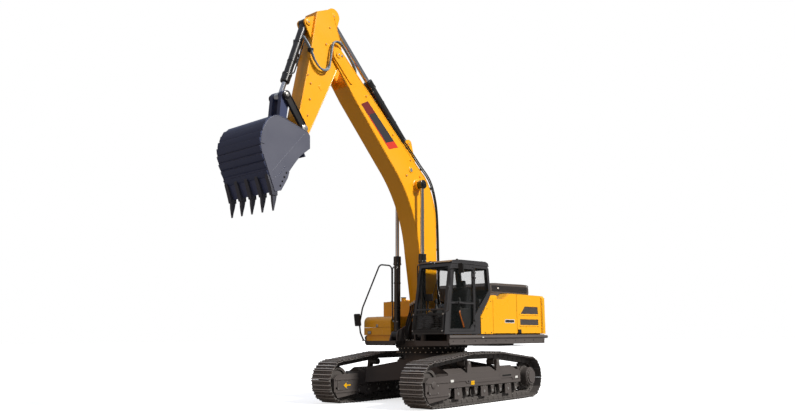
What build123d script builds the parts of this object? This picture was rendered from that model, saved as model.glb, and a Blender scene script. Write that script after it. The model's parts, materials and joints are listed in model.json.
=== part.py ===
from build123d import *
from math import acos, atan2, cos, degrees, hypot, pi, radians, sin
import os

# Crawler excavator. Millimetres. The origin is on the ground under the swing axis,
# +X is the way the boom points, +Y is left (the cab side), +Z is up.

os.makedirs("parts", exist_ok=True)

# ---------------------------------------------------------------- undercarriage
TRACK_HEADING = 4.0          # degrees the tracks are turned under the upper structure
HALF_GAUGE = 1295.0          # swing axis to the middle of a track
SHOE_WIDTH = 600.0
SHOE_COUNT = 50
SHOE_PLATE = 14.0
GROUSER = 28.0
LINK_HEIGHT = 118.0
TUMBLER_X = 2030.0           # idler and sprocket axles, ahead of and behind the swing axis
TUMBLER_Z = 500.0
TUMBLER_R = 325.0            # tread radius that the links run on
ROLLER_R = 100.0
ROLLER_Z = ROLLER_R + LINK_HEIGHT + SHOE_PLATE + GROUSER
CARRIER_R = 75.0
CARRIER_Z = 905.0
CARRIER_X = (600.0, -620.0)
ROLLER_XS = [-1400.0 + 350.0 * i for i in range(9)]
BEAM_HALF = 185.0            # half width of a track frame's beam
BEAM_BOTTOM, BEAM_TOP = 400.0, 700.0
YOKE_IN, YOKE_OUT = 150.0, 230.0
HUB_R = 225.0
TIE_DOWN = (2215.0, 345.0)   # hole through the front yokes, radius below
TIE_DOWN_R = 32.0

# ---------------------------------------------------------------- swing bearing and platform
RING_R = 800.0
RING_BORE = 640.0
RING_Z = (1095.0, 1180.0, 1186.0, 1270.0)   # fixed ring, then turning ring
DECK_BOTTOM, DECK_TOP = 1270.0, 1400.0
SKIRT_Y = 1490.0
SKIRT_T = 45.0
SKIRT_Z = (1310.0, 1530.0)
DECK_FRONT_LEFT, DECK_FRONT_RIGHT = 1150.0, 810.0
DECK_REAR = -2600.0
TAIL_R = 2033.0              # plan radius of the counterweight's back
TAIL_X = -3400.0
CW_Z = (1545.0, 2500.0)

# ---------------------------------------------------------------- pins of the working gear (x, z)
FOOT = (250.0, 1950.0)       # boom foot
BOOM_BASE = (790.0, 1530.0)  # boom cylinder foot
BOOM_EYE = (750.0, 5100.0)   # boom cylinder rod on the boom
ARM_PIN = (3360.0, 7700.0)   # boom tip
ARM_BASE = (920.0, 6120.0)   # arm cylinder foot on the boom
ARM_EYE = (3400.0, 8630.0)   # arm cylinder rod on the arm
BUCKET_BASE = (4140.0, 8270.0)
LINK_PIN = (4780.0, 6460.0)  # rocker, bucket link and bucket cylinder rod
ROCKER_PIN = (4300.0, 5830.0)
BUCKET_PIN = (4440.0, 5400.0)
BUCKET_LINK_PIN = (4860.0, 5760.0)

BOOM_HALF = 240.0            # half widths across the machine
BOOM_WALL = 22.0
FORK_HALF = 200.0
ARM_HALF = 190.0
ARM_WALL = 18.0
BOOM_CYL_Y = 405.0
BUCKET_HALF = 720.0
PIN_R = 50.0
PIN_PLAY = 0.05              # radial clearance of a pin in a turning bore
SIDE_GAP = 6.0               # clearance beside a turning boss

# ---------------------------------------------------------------- cab and bodywork
CAB_Y = (530.0, 1470.0)
CAB_WALL = 50.0
DOOR_HINGE = (192.0, 1482.0)              # cab door's axis in plan
DOOR_BARRELS = ((1750.0, 1830.0), (2850.0, 2930.0))
BODY_Y = 1470.0
BODY_Z = 1550.0


# ================================================================ shape helpers
def box(x0, x1, y0, y1, z0, z1):
    return Pos((x0 + x1) / 2, (y0 + y1) / 2, (z0 + z1) / 2) * Box(x1 - x0, y1 - y0, z1 - z0)


def side_face(points):
    """Face in the XZ plane with straight sides through (x, z) corners."""
    return make_face(Polyline(*[(x, 0, z) for x, z in points], close=True))


def inset(points, amount):
    """Face whose straight sides lie inside the outline's sides by amount."""
    turned = sum(xa * zb - xb * za for (xa, za), (xb, zb) in zip(points, points[1:] + points[:1]))
    inward = pi / 2 if turned > 0 else -pi / 2
    corners = []
    for (xa, za), (x, z), (xb, zb) in zip(points[-1:] + points[:-1], points, points[1:] + points[:1]):
        before, after = atan2(z - za, x - xa), atan2(zb - z, xb - x)
        bend = (after - before + pi) % (2 * pi) - pi
        reach, aim = amount / cos(bend / 2), before + bend / 2 + inward
        corners.append((x + reach * cos(aim), z + reach * sin(aim)))
    return side_face(corners)


def across(face, y0, y1):
    """The solid that a side face sweeps from y0 to y1."""
    return Pos(0, y0, 0) * extrude(face, amount=y1 - y0, dir=(0, 1, 0))


def plate(points, y0, y1):
    return across(side_face(points), y0, y1)


def both_sides(points, y0, y1):
    return plate(points, y0, y1) + plate(points, -y1, -y0)


def disc(point, radius, y0, y1):
    """Round bar along Y through a side-view point."""
    return Pos(point[0], (y0 + y1) / 2, point[1]) * Rot(90, 0, 0) * Cylinder(radius, y1 - y0)


def plan_face(points, z):
    return make_face(Polyline(*[(x, y, z) for x, y in points], close=True))


def post(x, y, radius, z0, z1):
    """Round bar along Z, such as a hinge barrel."""
    return Pos(x, y, (z0 + z1) / 2) * Cylinder(radius, z1 - z0)


def slab(points, z0, z1):
    """Plate with (x, y) corners."""
    return extrude(plan_face(points, z0), amount=z1 - z0, dir=(0, 0, 1))


def belt_runs(circles):
    """Tangent runs round circles given anticlockwise as (x, z, radius): start, end, outward angle."""
    runs = []
    for (x1, z1, r1), (x2, z2, r2) in zip(circles, circles[1:] + circles[:1]):
        length = hypot(x2 - x1, z2 - z1)
        out = atan2(z2 - z1, x2 - x1) - acos((r1 - r2) / length)
        start = (x1 + r1 * cos(out), z1 + r1 * sin(out))
        end = (x2 + r2 * cos(out), z2 + r2 * sin(out))
        runs.append((start, end, out))
    return runs


def belt_face(circles):
    """Face bounded by a belt pulled tight round the circles."""
    runs = belt_runs(circles)
    edges = []
    for i, (start, end, out) in enumerate(runs):
        next_start, _, next_out = runs[(i + 1) % len(runs)]
        x, z, r = circles[(i + 1) % len(circles)]
        while next_out < out:
            next_out += 2 * pi
        middle = (out + next_out) / 2
        edges.append(Line((start[0], 0, start[1]), (end[0], 0, end[1])))
        bulge = (x + r * cos(middle), 0, z + r * sin(middle))
        edges.append(ThreePointArc((end[0], 0, end[1]), bulge, (next_start[0], 0, next_start[1])))
    return make_face(Wire(edges))


def lug(circles, y0, y1):
    """Plate with rounded ends round the circles, from y0 to y1."""
    return across(belt_face(circles), y0, y1)


def tube_path(points, radii, radius):
    """Round bar bent along 3-D points, with one bend radius for each inner point."""
    path = FilletPolyline(*points, radius=radii)
    section = Plane(origin=path @ 0, z_dir=path % 0) * Circle(radius)
    return sweep(section, path=path)


def single(shape):
    """One solid, or a compound of the separate solids, without the builder's wrapping."""
    solids = shape.solids()
    return solids[0] if len(solids) == 1 else Compound(children=list(solids))


def save(name, shape):
    shape = single(shape)
    export_step(shape, f"parts/{name}.step")


def save_under(name, shape):
    """Undercarriage pieces are drawn along X and then turned to the tracks' heading."""
    save(name, Rot(0, 0, TRACK_HEADING) * shape)


# ================================================================ undercarriage
def track_circles(grow):
    """Circles that the chain runs round; grow is measured out from the links' running face."""
    end = ROLLER_XS[-1] + 200.0
    return [
        (-end, ROLLER_Z, ROLLER_R + grow),
        (end, ROLLER_Z, ROLLER_R + grow),
        (TUMBLER_X, TUMBLER_Z, TUMBLER_R + grow),
        (CARRIER_X[0], CARRIER_Z, CARRIER_R + grow),
        (CARRIER_X[1], CARRIER_Z, CARRIER_R + grow),
        (-TUMBLER_X, TUMBLER_Z, TUMBLER_R + grow),
    ]


def belt_stations(circles, count):
    """Evenly spaced places along a belt, as (x, z, outward angle)."""
    runs = belt_runs(circles)
    pieces = []
    for i, (start, end, out) in enumerate(runs):
        x, z, r = circles[(i + 1) % len(circles)]
        turn = (runs[(i + 1) % len(runs)][2] - out) % (2 * pi)
        pieces.append(("run", hypot(end[0] - start[0], end[1] - start[1]), start, end, out))
        pieces.append(("arc", r * turn, (x, z), r, out))
    step = sum(piece[1] for piece in pieces) / count
    stations, along = [], step / 2
    for kind, length, a, b, out in pieces:
        while along < length:
            if kind == "run":
                share = along / length
                stations.append((a[0] + share * (b[0] - a[0]), a[1] + share * (b[1] - a[1]), out))
            else:
                angle = out + along / b
                stations.append((a[0] + b * cos(angle), a[1] + b * sin(angle), angle))
            along += step
        along -= length
    return stations, step


def track():
    """One closed track: triple-grouser shoes on two strands of links."""
    stations, pitch = belt_stations(track_circles(LINK_HEIGHT), SHOE_COUNT)
    half = pitch / 2 - 6.0
    top = SHOE_PLATE + GROUSER
    shoe = [
        (-half, 0), (-half, top), (-half + 16, top), (-half + 26, SHOE_PLATE),
        (-14, SHOE_PLATE), (-7, top), (7, top), (14, SHOE_PLATE),
        (half - 26, SHOE_PLATE), (half - 16, top), (half, top), (half, 0),
    ]                                                   # (along the track, outwards)
    outline = []
    for x, z, out in stations:
        for along, high in shoe:
            outline.append((x - along * sin(out) + high * cos(out), z + along * cos(out) + high * sin(out)))
    chain_in = belt_face(track_circles(0.0))
    chain_out = belt_face(track_circles(LINK_HEIGHT - 4.0))
    plate_in = belt_face(track_circles(LINK_HEIGHT - 10.0))
    links = chain_out - chain_in
    body = across(side_face(outline) - plate_in, -SHOE_WIDTH / 2, SHOE_WIDTH / 2)
    for side in (1, -1):
        body += across(links, side * 72.0 - 24.0, side * 72.0 + 24.0)
    return body


def idler():
    wheel = disc((TUMBLER_X, TUMBLER_Z), TUMBLER_R - 0.5, -95, 95)
    wheel += disc((TUMBLER_X, TUMBLER_Z), TUMBLER_R + 20.0, -42, 42)
    for side in (1, -1):
        recess = disc((TUMBLER_X, TUMBLER_Z), TUMBLER_R - 60, 60, 96)
        wheel -= recess if side == 1 else mirror(recess, Plane.XZ)
    hub = disc((TUMBLER_X, TUMBLER_Z), 110, -149, 149)
    shaft = disc((TUMBLER_X, TUMBLER_Z), 55, -YOKE_OUT - 12, YOKE_OUT + 12)
    return wheel + hub + shaft


def final_drive():
    """Sprocket with its gear housing on the outside and the travel motor on the inside."""
    centre = (-TUMBLER_X, TUMBLER_Z)
    teeth = 22
    rim = []
    for i in range(teeth):
        for share, radius in ((0.0, 312), (0.3, 312), (0.45, 372), (0.7, 372)):
            angle = 2 * pi * (i + share) / teeth
            rim.append((centre[0] + radius * cos(angle), centre[1] + radius * sin(angle)))
    drive = plate(rim, -34, 34)
    drive += disc(centre, HUB_R, 34, 240)
    drive += disc(centre, 195, 240, 270)
    drive += disc(centre, 150, 270, 292)
    drive += disc(centre, 262, 40, 70)
    drive += disc(centre, 170, -330, -34)
    return drive


def rollers():
    """Track rollers with their end collars, and the two carrier rollers."""
    parts = []
    for x in ROLLER_XS:
        at = (x, ROLLER_Z)
        wheel = disc(at, ROLLER_R - 0.5, -98, 98) + disc(at, ROLLER_R + 16, -104, -98)
        wheel += disc(at, ROLLER_R + 16, 98, 104) + disc(at, 42, -158, 158)
        for side in (1, -1):
            wheel += box(x - 60, x + 60, min(side * 118, side * 158), max(side * 118, side * 158),
                         ROLLER_Z - 55, BEAM_BOTTOM)
        parts += wheel.solids()
    for x in CARRIER_X:
        at = (x, CARRIER_Z)
        wheel = disc(at, CARRIER_R - 0.5, -98, 98) + disc(at, CARRIER_R + 12, 98, 106)
        wheel += disc(at, 34, 98, 176)
        parts += wheel.solids()
    return Compound(children=parts)


def track_frame():
    """Beam of a track: its yokes hold the idler, its rear plate holds the final drive."""
    beam = plate([(-1640, BEAM_BOTTOM), (1560, BEAM_BOTTOM), (1560, 640), (1380, BEAM_TOP),
                  (-1500, BEAM_TOP), (-1640, 650)], -BEAM_HALF, BEAM_HALF)
    fork = [(1475, 200), (2180, 130), (2300, 300), (2300, 560), (2180, 650), (1475, 660)]
    frame = beam + both_sides(fork, YOKE_IN, YOKE_OUT)
    frame += box(1475, 1620, -YOKE_OUT, YOKE_OUT, 400, 650)
    motor_plate = [(-1560, 330), (-1900, 250), (-2100, 260), (-2230, 420), (-2230, 600),
                   (-2100, 740), (-1900, 750), (-1560, 700)]
    frame += plate(motor_plate, -YOKE_OUT, -YOKE_IN)
    frame += box(-1660, -1540, -YOKE_OUT, -BEAM_HALF + 5, 400, 700)
    frame -= disc((TUMBLER_X, TUMBLER_Z), 55, -YOKE_OUT - 1, YOKE_OUT + 1)
    frame -= disc((-TUMBLER_X, TUMBLER_Z), 170, -YOKE_OUT - 1, -YOKE_IN + 1)
    for x in (1050.0, 0.0, -1050.0):                   # track guards between the roller collars
        for side in (1, -1):
            near, far = sorted((side * 162.0, side * BEAM_HALF))
            frame += box(x - 140, x + 140, near, far, 150, BEAM_BOTTOM + 20)
    for x in CARRIER_X:                                # carrier roller posts
        frame += box(x - 62, x + 62, 120, 176, BEAM_TOP - 20, CARRIER_Z + 50)
        frame -= disc((x, CARRIER_Z), 34, 110, 186)
    for near, far in zip(ROLLER_XS, ROLLER_XS[1:]):    # stiffening webs between the rollers
        frame += box(near + 124, far - 124, -14, 14, 240, BEAM_BOTTOM + 5)
    frame -= disc(TIE_DOWN, TIE_DOWN_R, -YOKE_OUT - 1, YOKE_OUT + 1)
    return frame


def undercarriage():
    def pair(shape):
        left = Pos(0, HALF_GAUGE, 0) * shape
        return left.solids(), mirror(left, Plane.XZ).solids()

    left_track, right_track = pair(track())
    save_under("left_track", left_track[0])
    save_under("right_track", right_track[0])
    for name, shape in (("track_frames", track_frame()), ("idlers", idler()),
                        ("final_drives", final_drive()), ("track_rollers", rollers())):
        left, right = pair(shape)
        save_under(name, Compound(children=left + right))
    inner = HALF_GAUGE - BEAM_HALF
    hub = Pos(0, 0, (480 + RING_Z[0]) / 2) * Cylinder(660, RING_Z[0] - 480)
    centre = hub + box(-640, 640, -560, 560, 500, 960)
    centre -= Pos(0, 0, 780) * Cylinder(300, 640)
    for sx in (1, -1):
        for sy in (1, -1):
            leg = [(120, 420), (640, 200), (1180, inner), (620, inner)]
            leg = slab([(sx * x, sy * y) for x, y in leg], 430, 990)
            rise = [(150, 520), (inner, 430), (inner, 780), (150, 985)]      # (y, z)
            rise = make_face(Polyline(*[(-1300, sy * y, z) for y, z in rise], close=True))
            centre += leg & extrude(rise, amount=2600, dir=(1, 0, 0))
    save_under("center_frame", centre)
    z0, z1, z2, z3 = RING_Z
    fixed = Pos(0, 0, (z0 + z1) / 2) * (Cylinder(RING_R, z1 - z0) - Cylinder(RING_BORE, z1 - z0 + 2))
    save_under("swing_ring_fixed", fixed)
    turning = Pos(0, 0, (z2 + z3) / 2) * (Cylinder(RING_R + 12, z3 - z2) - Cylinder(RING_BORE, z3 - z2 + 2))
    save("swing_ring_turning", turning)


# ================================================================ platform
def tail_face(z, inset):
    """Plan of the counterweight, rounded at the back."""
    front, half = DECK_REAR - 5.0, SKIRT_Y - inset
    r = TAIL_R - inset
    centre_x = TAIL_X + TAIL_R
    corner_x = centre_x - (r * r - half * half) ** 0.5
    arc = ThreePointArc((corner_x, half, z), (centre_x - r, 0, z), (corner_x, -half, z))
    sides = Polyline((corner_x, -half, z), (front, -half, z), (front, half, z), (corner_x, half, z))
    return make_face(Wire([arc] + list(sides.edges())))


def platform():
    deck = box(DECK_REAR, 640, -600, 600, DECK_BOTTOM, DECK_TOP)
    inner = SKIRT_Y - SKIRT_T
    deck += box(DECK_REAR, DECK_FRONT_LEFT, 500, inner, DECK_TOP - 70, DECK_TOP)
    deck += box(DECK_REAR, DECK_FRONT_RIGHT, -inner, -500, DECK_TOP - 70, DECK_TOP)
    deck += box(DECK_FRONT_LEFT - 60, DECK_FRONT_LEFT, 500, inner, DECK_BOTTOM + 20, DECK_TOP)
    deck += box(DECK_FRONT_RIGHT - 60, DECK_FRONT_RIGHT, -inner, -500, DECK_BOTTOM + 20, DECK_TOP)
    tail = extrude(tail_face(SKIRT_Z[0], 30.0), amount=SKIRT_Z[1] - SKIRT_Z[0], dir=(0, 0, 1))
    deck += tail + box(DECK_REAR - 20, DECK_REAR + 20, -inner, inner, SKIRT_Z[0], DECK_TOP)
    for x, y in ((1000, 620), (1000, 1380), (100, 620), (100, 1380)):   # cab mounts
        deck += Pos(x, y, (DECK_TOP + BODY_Z) / 2 - 5) * Cylinder(65, BODY_Z - DECK_TOP + 10)
    bracket = [(-420, 1390), (-380, 1560), (-200, 1930), (60, 2080), (250, 2140), (430, 2060),
               (600, 1760), (900, 1640), (940, 1530), (930, 1390)]
    y_in = 260 + SIDE_GAP
    deck += both_sides(bracket, y_in, y_in + 38)
    for side in (1, -1):                               # outer ears of the boom cylinder feet
        near, far = sorted((side * 489.0, side * 523.0))
        deck += lug([(640, 1400, 20), (940, 1400, 20), (*BOOM_BASE, 105)], near, far)
        near, far = sorted((side * 300.0, side * 523.0))
        deck += box(600, 960, near, far, 1330, DECK_TOP + 5)
        near, far = sorted((side * (y_in + 30), side * (y_in + 70)))
        deck += disc(FOOT, 150, near, far)
        deck += disc(BOOM_BASE, PIN_R, *sorted((side * 268.0, side * 526.0)))
    deck += disc(FOOT, 60, -340, 340)
    return deck


def skirts():
    parts = []
    z0, z1 = SKIRT_Z
    for side, front in ((1, DECK_FRONT_LEFT), (-1, DECK_FRONT_RIGHT)):
        outline = [(DECK_REAR, z0), (front - 25, z0), (front, z0 + 60), (front - 30, z1), (DECK_REAR, z1)]
        near, far = sorted((side * SKIRT_Y, side * (SKIRT_Y - SKIRT_T)))
        parts += plate(outline, near, far).solids()
    return Compound(children=parts)


# ================================================================ cab
CAB_OUTLINE = [(1290, 1550), (1200, 2200), (1050, 3000), (1005, 3130), (-345, 3130), (-395, 3060),
               (-440, 2520), (-440, 2440), (-20, 1950), (-20, 1550)]
DOOR_OPENING = [(190, 1610), (1130, 1610), (1075, 2200), (945, 3070), (190, 3070)]


def cab_frame():
    y0, y1 = CAB_Y
    shell = plate(CAB_OUTLINE, y0, y1) - across(inset(CAB_OUTLINE, CAB_WALL), y0 + CAB_WALL, y1 - CAB_WALL)
    shell -= plate(DOOR_OPENING, y1 - CAB_WALL - 1, y1 + 1)
    quarter = [(150, 1990), (150, 3060), (-300, 3060), (-368, 2540)]
    shell -= plate(quarter, y1 - CAB_WALL - 1, y1 + 1)
    right = [(-366, 2540), (-300, 3060), (925, 3060), (1075, 2200), (1090, 2020), (120, 2020)]
    shell -= plate(right, y0 - 1, y0 + CAB_WALL + 1)
    shell -= box(980, 1400, y0 + 70, y1 - 70, 1650, 3060)          # front opening
    shell -= box(-460, -330, y0 + 110, y1 - 110, 2580, 3040)       # rear window
    shell -= box(-280, 900, y0 + 70, y1 - 70, 3070, 3140)          # roof opening
    x, y = DOOR_HINGE
    for low, high in DOOR_BARRELS:                                 # fixed halves of the hinges
        for z0, z1 in ((low - 36, low - 1), (high + 1, high + 36)):
            shell += post(x, y, 11, z0, z1) + box(x - 70, x - 3, y1 - 3, y + 1, z0, z1)
    return shell


def cab_roof():
    roof = [(990, 3135), (1010, 3160), (960, 3200), (700, 3222), (-260, 3230), (-360, 3195), (-375, 3135)]
    cap = plate(roof, CAB_Y[0] - 12, CAB_Y[1] + 12)
    return cap


def cab_glass():
    """Windscreen, right window, left quarter window and rear window, each its own pane."""
    y0, y1 = CAB_Y
    front = [(1256, 1652), (1176, 2200), (1030, 2985), (1003, 3058), (991, 3058), (1018, 2985),
             (1164, 2200), (1244, 1652)]
    panes = plate(front, y0 + 71, y1 - 71).solids()
    right = [(-363, 2541), (-298, 3058), (923, 3058), (1073, 2200), (1088, 2022), (121, 2022)]
    panes += plate(right, y0 + 22, y0 + 28).solids()
    quarter = [(148, 1995), (148, 3058), (-298, 3058), (-366, 2541)]
    panes += plate(quarter, y1 - 28, y1 - 22).solids()
    rear = [(-421, 2582), (-379, 3038), (-373, 3038), (-415, 2582)]
    panes += plate(rear, y0 + 111, y1 - 111).solids()
    return Compound(children=panes)


def cab_door():
    y0, y1 = CAB_Y[1] - 46, CAB_Y[1] - 2
    door = across(inset(DOOR_OPENING, 8), y0, y1)
    for window in DOOR_WINDOWS:
        door -= plate(window, y0 - 1, y1 + 1)
    door += box(620, 780, y1 - 2, y1 + 28, 2228, 2262)             # handle
    for low, high in DOOR_BARRELS:
        door += post(*DOOR_HINGE, 11, low, high)
        door += box(DOOR_HINGE[0] + 3, DOOR_HINGE[0] + 70, y1 - 2, DOOR_HINGE[1] + 1, low, high)
    return door


DOOR_WINDOWS = [
    [(228, 2266), (1022, 2266), (912, 3020), (228, 3020)],
    [(360, 1670), (1076, 1670), (1030, 2224), (228, 2224), (228, 1800)],
]


def door_glass():
    y = CAB_Y[1] - 24
    panes = []
    for window in DOOR_WINDOWS:
        panes += across(inset(window, 1), y - 3, y + 3).solids()
    return Compound(children=panes)


def operator_seat():
    y = (CAB_Y[0] + CAB_Y[1]) / 2
    base = box(150, 570, y - 170, y + 170, 1600, 1870)
    cushion = [(110, 1830), (650, 1850), (670, 1930), (610, 1965), (150, 1940), (100, 1900)]
    back = [(110, 1890), (220, 1920), (130, 2560), (90, 2640), (20, 2640), (10, 2560)]
    head = [(20, 2600), (95, 2600), (115, 2660), (105, 2800), (30, 2800), (15, 2660)]
    seat = base + plate(cushion, y - 250, y + 250) + plate(back, y - 240, y + 240)
    return seat + plate(head, y - 120, y + 120)


def control_consoles():
    """Armrest consoles with joystick stubs, and the pedal and lever post."""
    y = (CAB_Y[0] + CAB_Y[1]) / 2
    parts = []
    for side in (1, -1):
        centre = y + side * 345
        arm = [(60, 1602), (420, 1602), (640, 2060), (640, 2130), (100, 2110), (60, 2040)]
        console = plate(arm, centre - 55, centre + 55)
        console += Pos(585, centre, 2230) * Cylinder(24, 220)
        parts += console.solids()
        pedal = plate([(880, 1602), (1060, 1602), (1060, 1640), (960, 1700), (880, 1690)],
                      y + side * 105 - 45, y + side * 105 + 45)
        lever = Pos(860, y + side * 105, 1840) * Cylinder(16, 440)
        foot = box(840, 900, y + side * 105 - 40, y + side * 105 + 40, 1602, 1630)
        parts += (pedal + lever + foot).solids()
    return Compound(children=parts)


def cab_guard():
    """Frame of the mesh guard over the lower windscreen, on four stand-off feet."""
    lean = [(1310, 1600), (1330, 1600), (1285, 2010), (1265, 2010)]
    frame = plate(lean, CAB_Y[0] + 20, CAB_Y[1] - 20)
    hole = [(1290, 1640), (1350, 1640), (1310, 1970), (1240, 1970)]
    frame -= plate(hole, CAB_Y[0] + 60, CAB_Y[1] - 60)
    for y in (CAB_Y[0] + 40, CAB_Y[1] - 40):
        for x, z in ((1285, 1625), (1235, 1985)):
            frame += Pos(x + 15, y, z) * Rot(0, 90, 0) * Cylinder(12, 70)
    return frame - plate(CAB_OUTLINE, *CAB_Y)


# ================================================================ bodywork
LEFT_TOP = [(-395, 2362), (-940, 2372), (-1240, 2520), (-2595, 2505)]


def side_body(outline, y_in, y_out):
    """Hollow body compartment: floorless box, open to the side where the doors hang."""
    shell = plate(outline, y_in, y_out)
    cavity = inset(outline, 25)
    return shell - across(cavity, y_in + 25, y_out + 1)


def left_body():
    outline = [(-45, DECK_TOP), (-45, 1935), *LEFT_TOP, (-2595, DECK_TOP)]
    body = side_body(outline, 560, BODY_Y - 42)
    corner = [(-45, BODY_Z), (-45, 1935), (-395, 2362), (-522, 2364), (-522, BODY_Z)]
    body += plate(corner, BODY_Y - 43, BODY_Y)
    for x, top in ((-530, 2352), (-1517, 2500)):       # door posts
        body += box(x - 30, x + 30, BODY_Y - 110, BODY_Y - 42, DECK_TOP + 5, top)
    return body


def middle_left_door():
    outline = [(-530, 1560), (-530, 2358), (-938, 2366), (-1238, 2514), (-1510, 2511), (-1510, 1560)]
    door = plate(outline, BODY_Y - 36, BODY_Y)
    return door + post(-530, BODY_Y + 2, 3.6, 1570, 2340)          # hinge pin in the seam


def rear_side_door(side):
    outline = [(-1524, 1560), (-1524, 2511), (-2590, 2499), (-2590, 1560)]
    near, far = sorted((side * (BODY_Y - 36), side * BODY_Y))
    door = plate(outline, near, far)
    vents = [
        [(-1670, 2025), (-1870, 2215), (-2450, 2215), (-2460, 2030)],
        [(-1650, 1755), (-1650, 1905), (-2460, 1900), (-2460, 1755)],
    ]
    for vent in vents:
        near, far = sorted((side * (BODY_Y - 10), side * (BODY_Y + 1)))
        door -= plate(vent, near, far)
    near, far = sorted((side * (BODY_Y - 2), side * (BODY_Y + 22)))
    door += box(-1620, -1550, near, far, 1580, 1650)               # latch
    return door + post(-2595, side * (BODY_Y + 2), 5.4, 1570, 2490)


def right_body():
    outline = [(-1300, DECK_TOP), (-1300, 2520), (-2595, 2505), (-2595, DECK_TOP)]
    body = side_body(outline, 560, BODY_Y - 42)
    front = box(-1518, -1300, BODY_Y - 43, BODY_Y, BODY_Z, 2515)
    return mirror(body + front, Plane.XZ)


def tank(x0, x1, top):
    """Hollow right-hand tank standing on the deck, its side flush with the doors above the skirt."""
    def hull(wall):
        low = box(x0 + wall, x1 - wall, 35 - BODY_Y + wall, -560 - wall, DECK_TOP + wall, BODY_Z + wall)
        return low + box(x0 + wall, x1 - wall, wall - BODY_Y, -560 - wall, BODY_Z - 10 + wall, top - wall)
    return hull(0.0) - hull(12.0)


def toolbox():
    """Open box at the right front, closed by its lid."""
    outer = box(160, 850, -BODY_Y, -560, BODY_Z - 10, 1720)
    outer += box(170, 800, -BODY_Y + 35, -560, DECK_TOP, BODY_Z)
    return outer - box(185, 785, -BODY_Y + 60, -585, DECK_TOP + 25, 1721)


def toolbox_lid():
    """Lid with a front that curves over to the top."""
    def outline(back, front, bottom, top, radius):
        top_line = Polyline((front, 0, bottom), (back, 0, bottom), (back, 0, top), (front - radius, 0, top))
        bend = radius * (1 - cos(pi / 4))
        arc = ThreePointArc((front - radius, 0, top), (front - bend, 0, top - bend), (front, 0, top - radius))
        edge = Line((front, 0, top - radius), (front, 0, bottom))
        return make_face(Wire(list(top_line.edges()) + [arc, edge]))
    lid = across(outline(166, 850, 1726, 1985, 150), -BODY_Y, -560)
    lid -= across(outline(191, 825, 1700, 1960, 125), -BODY_Y + 25, -585)
    for y0, y1 in ((-1380, -1300), (-730, -650)):
        lid += disc((160, 1992), 7, y0, y1) + box(160, 215, y0, y1, 1984, 1992)
    return lid


def engine_hood():
    outline = [(-820, 2384), (-800, 2700), (-860, 2765), (-2360, 2775), (-2440, 2700), (-2455, 2520),
               (-1240, 2533), (-940, 2386)]
    inner = [(-842, 2300), (-825, 2695), (-870, 2745), (-2350, 2755), (-2418, 2690), (-2430, 2300)]
    hood = plate(outline, -1200, 1200) - plate(inner, -1178, 1178)
    for y in (-900, 0, 900):
        hood += disc((-2455, 2530), 11, y - 60, y + 60)
    return hood


def centre_cover():
    """Cover over the pumps and valves between the cab side and the tanks, with the hood's sill."""
    cover = plate([(-480, 1410), (-420, 2050), (-640, 2300), (-1290, 2340), (-1290, 1410)], -440, 540)
    cover -= plate([(-500, 1400), (-445, 2040), (-650, 2275), (-1265, 2315), (-1265, 1400)], -415, 515)
    return cover


def counterweight():
    z0, z1 = CW_Z
    mass = extrude(tail_face(z0, 0.0), amount=z1 - z0, dir=(0, 0, 1))
    top = mass.faces().sort_by(Axis.Z)[-1]
    rear = [e for e in top.edges() if e.center().X < DECK_REAR - 40]
    return chamfer(rear, 60, 45)


def mirrors():
    """The right mirror on its long bent tube, and the left one on the cab's front post."""
    def head(thick, width, height, corner):
        block = Box(thick, width, height)
        return fillet(block.edges().filter_by(Axis.X), corner)
    right = Pos(1075, -1475, 1910) * Rot(0, 8, 0) * head(40, 190, 300, 30)
    right += rod((1040, -1420, 1930), (1075, -1475, 1930), 16)
    left = Pos(1015, 1752, 2995) * Rot(0, 4, 0) * head(40, 130, 220, 25)
    left += rod((1030, 1450, 2990), (1015, 1720, 2990), 12)
    left -= plate(CAB_OUTLINE, *CAB_Y)
    right += tube_path([(915, -1420, 1405), (1030, -1420, 1600), (1060, -1420, 1800), (960, -1420, 2200),
                        (340, -1420, 3320), (-110, -1420, 3320), (-110, -1420, 2385)],
                       [90, 120, 200, 150, 120], 19)
    return Compound(children=right.solids() + left.solids())


def rod(start, end, radius):
    a, b = Vector(*start), Vector(*end)
    return extrude(Plane(origin=a, z_dir=b - a) * Circle(radius), amount=(b - a).length)


# ================================================================ working gear
BELLY = ((690.0, 3500.0), (1010.0, 4610.0), (1620.0, 5470.0))      # arc of the boom's inner bend


def circle_through(a, b, c):
    """Centre and radius of the circle through three side-view points."""
    (ax, az), (bx, bz), (cx, cz) = a, b, c
    across_ab, across_ac = (bx - ax, bz - az), (cx - ax, cz - az)
    twice = 2 * (across_ab[0] * across_ac[1] - across_ab[1] * across_ac[0])
    ab, ac = across_ab[0] ** 2 + across_ab[1] ** 2, across_ac[0] ** 2 + across_ac[1] ** 2
    x = (across_ac[1] * ab - across_ab[1] * ac) / twice
    z = (across_ab[0] * ac - across_ac[0] * ab) / twice
    return (ax + x, az + z), hypot(x, z)


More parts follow.
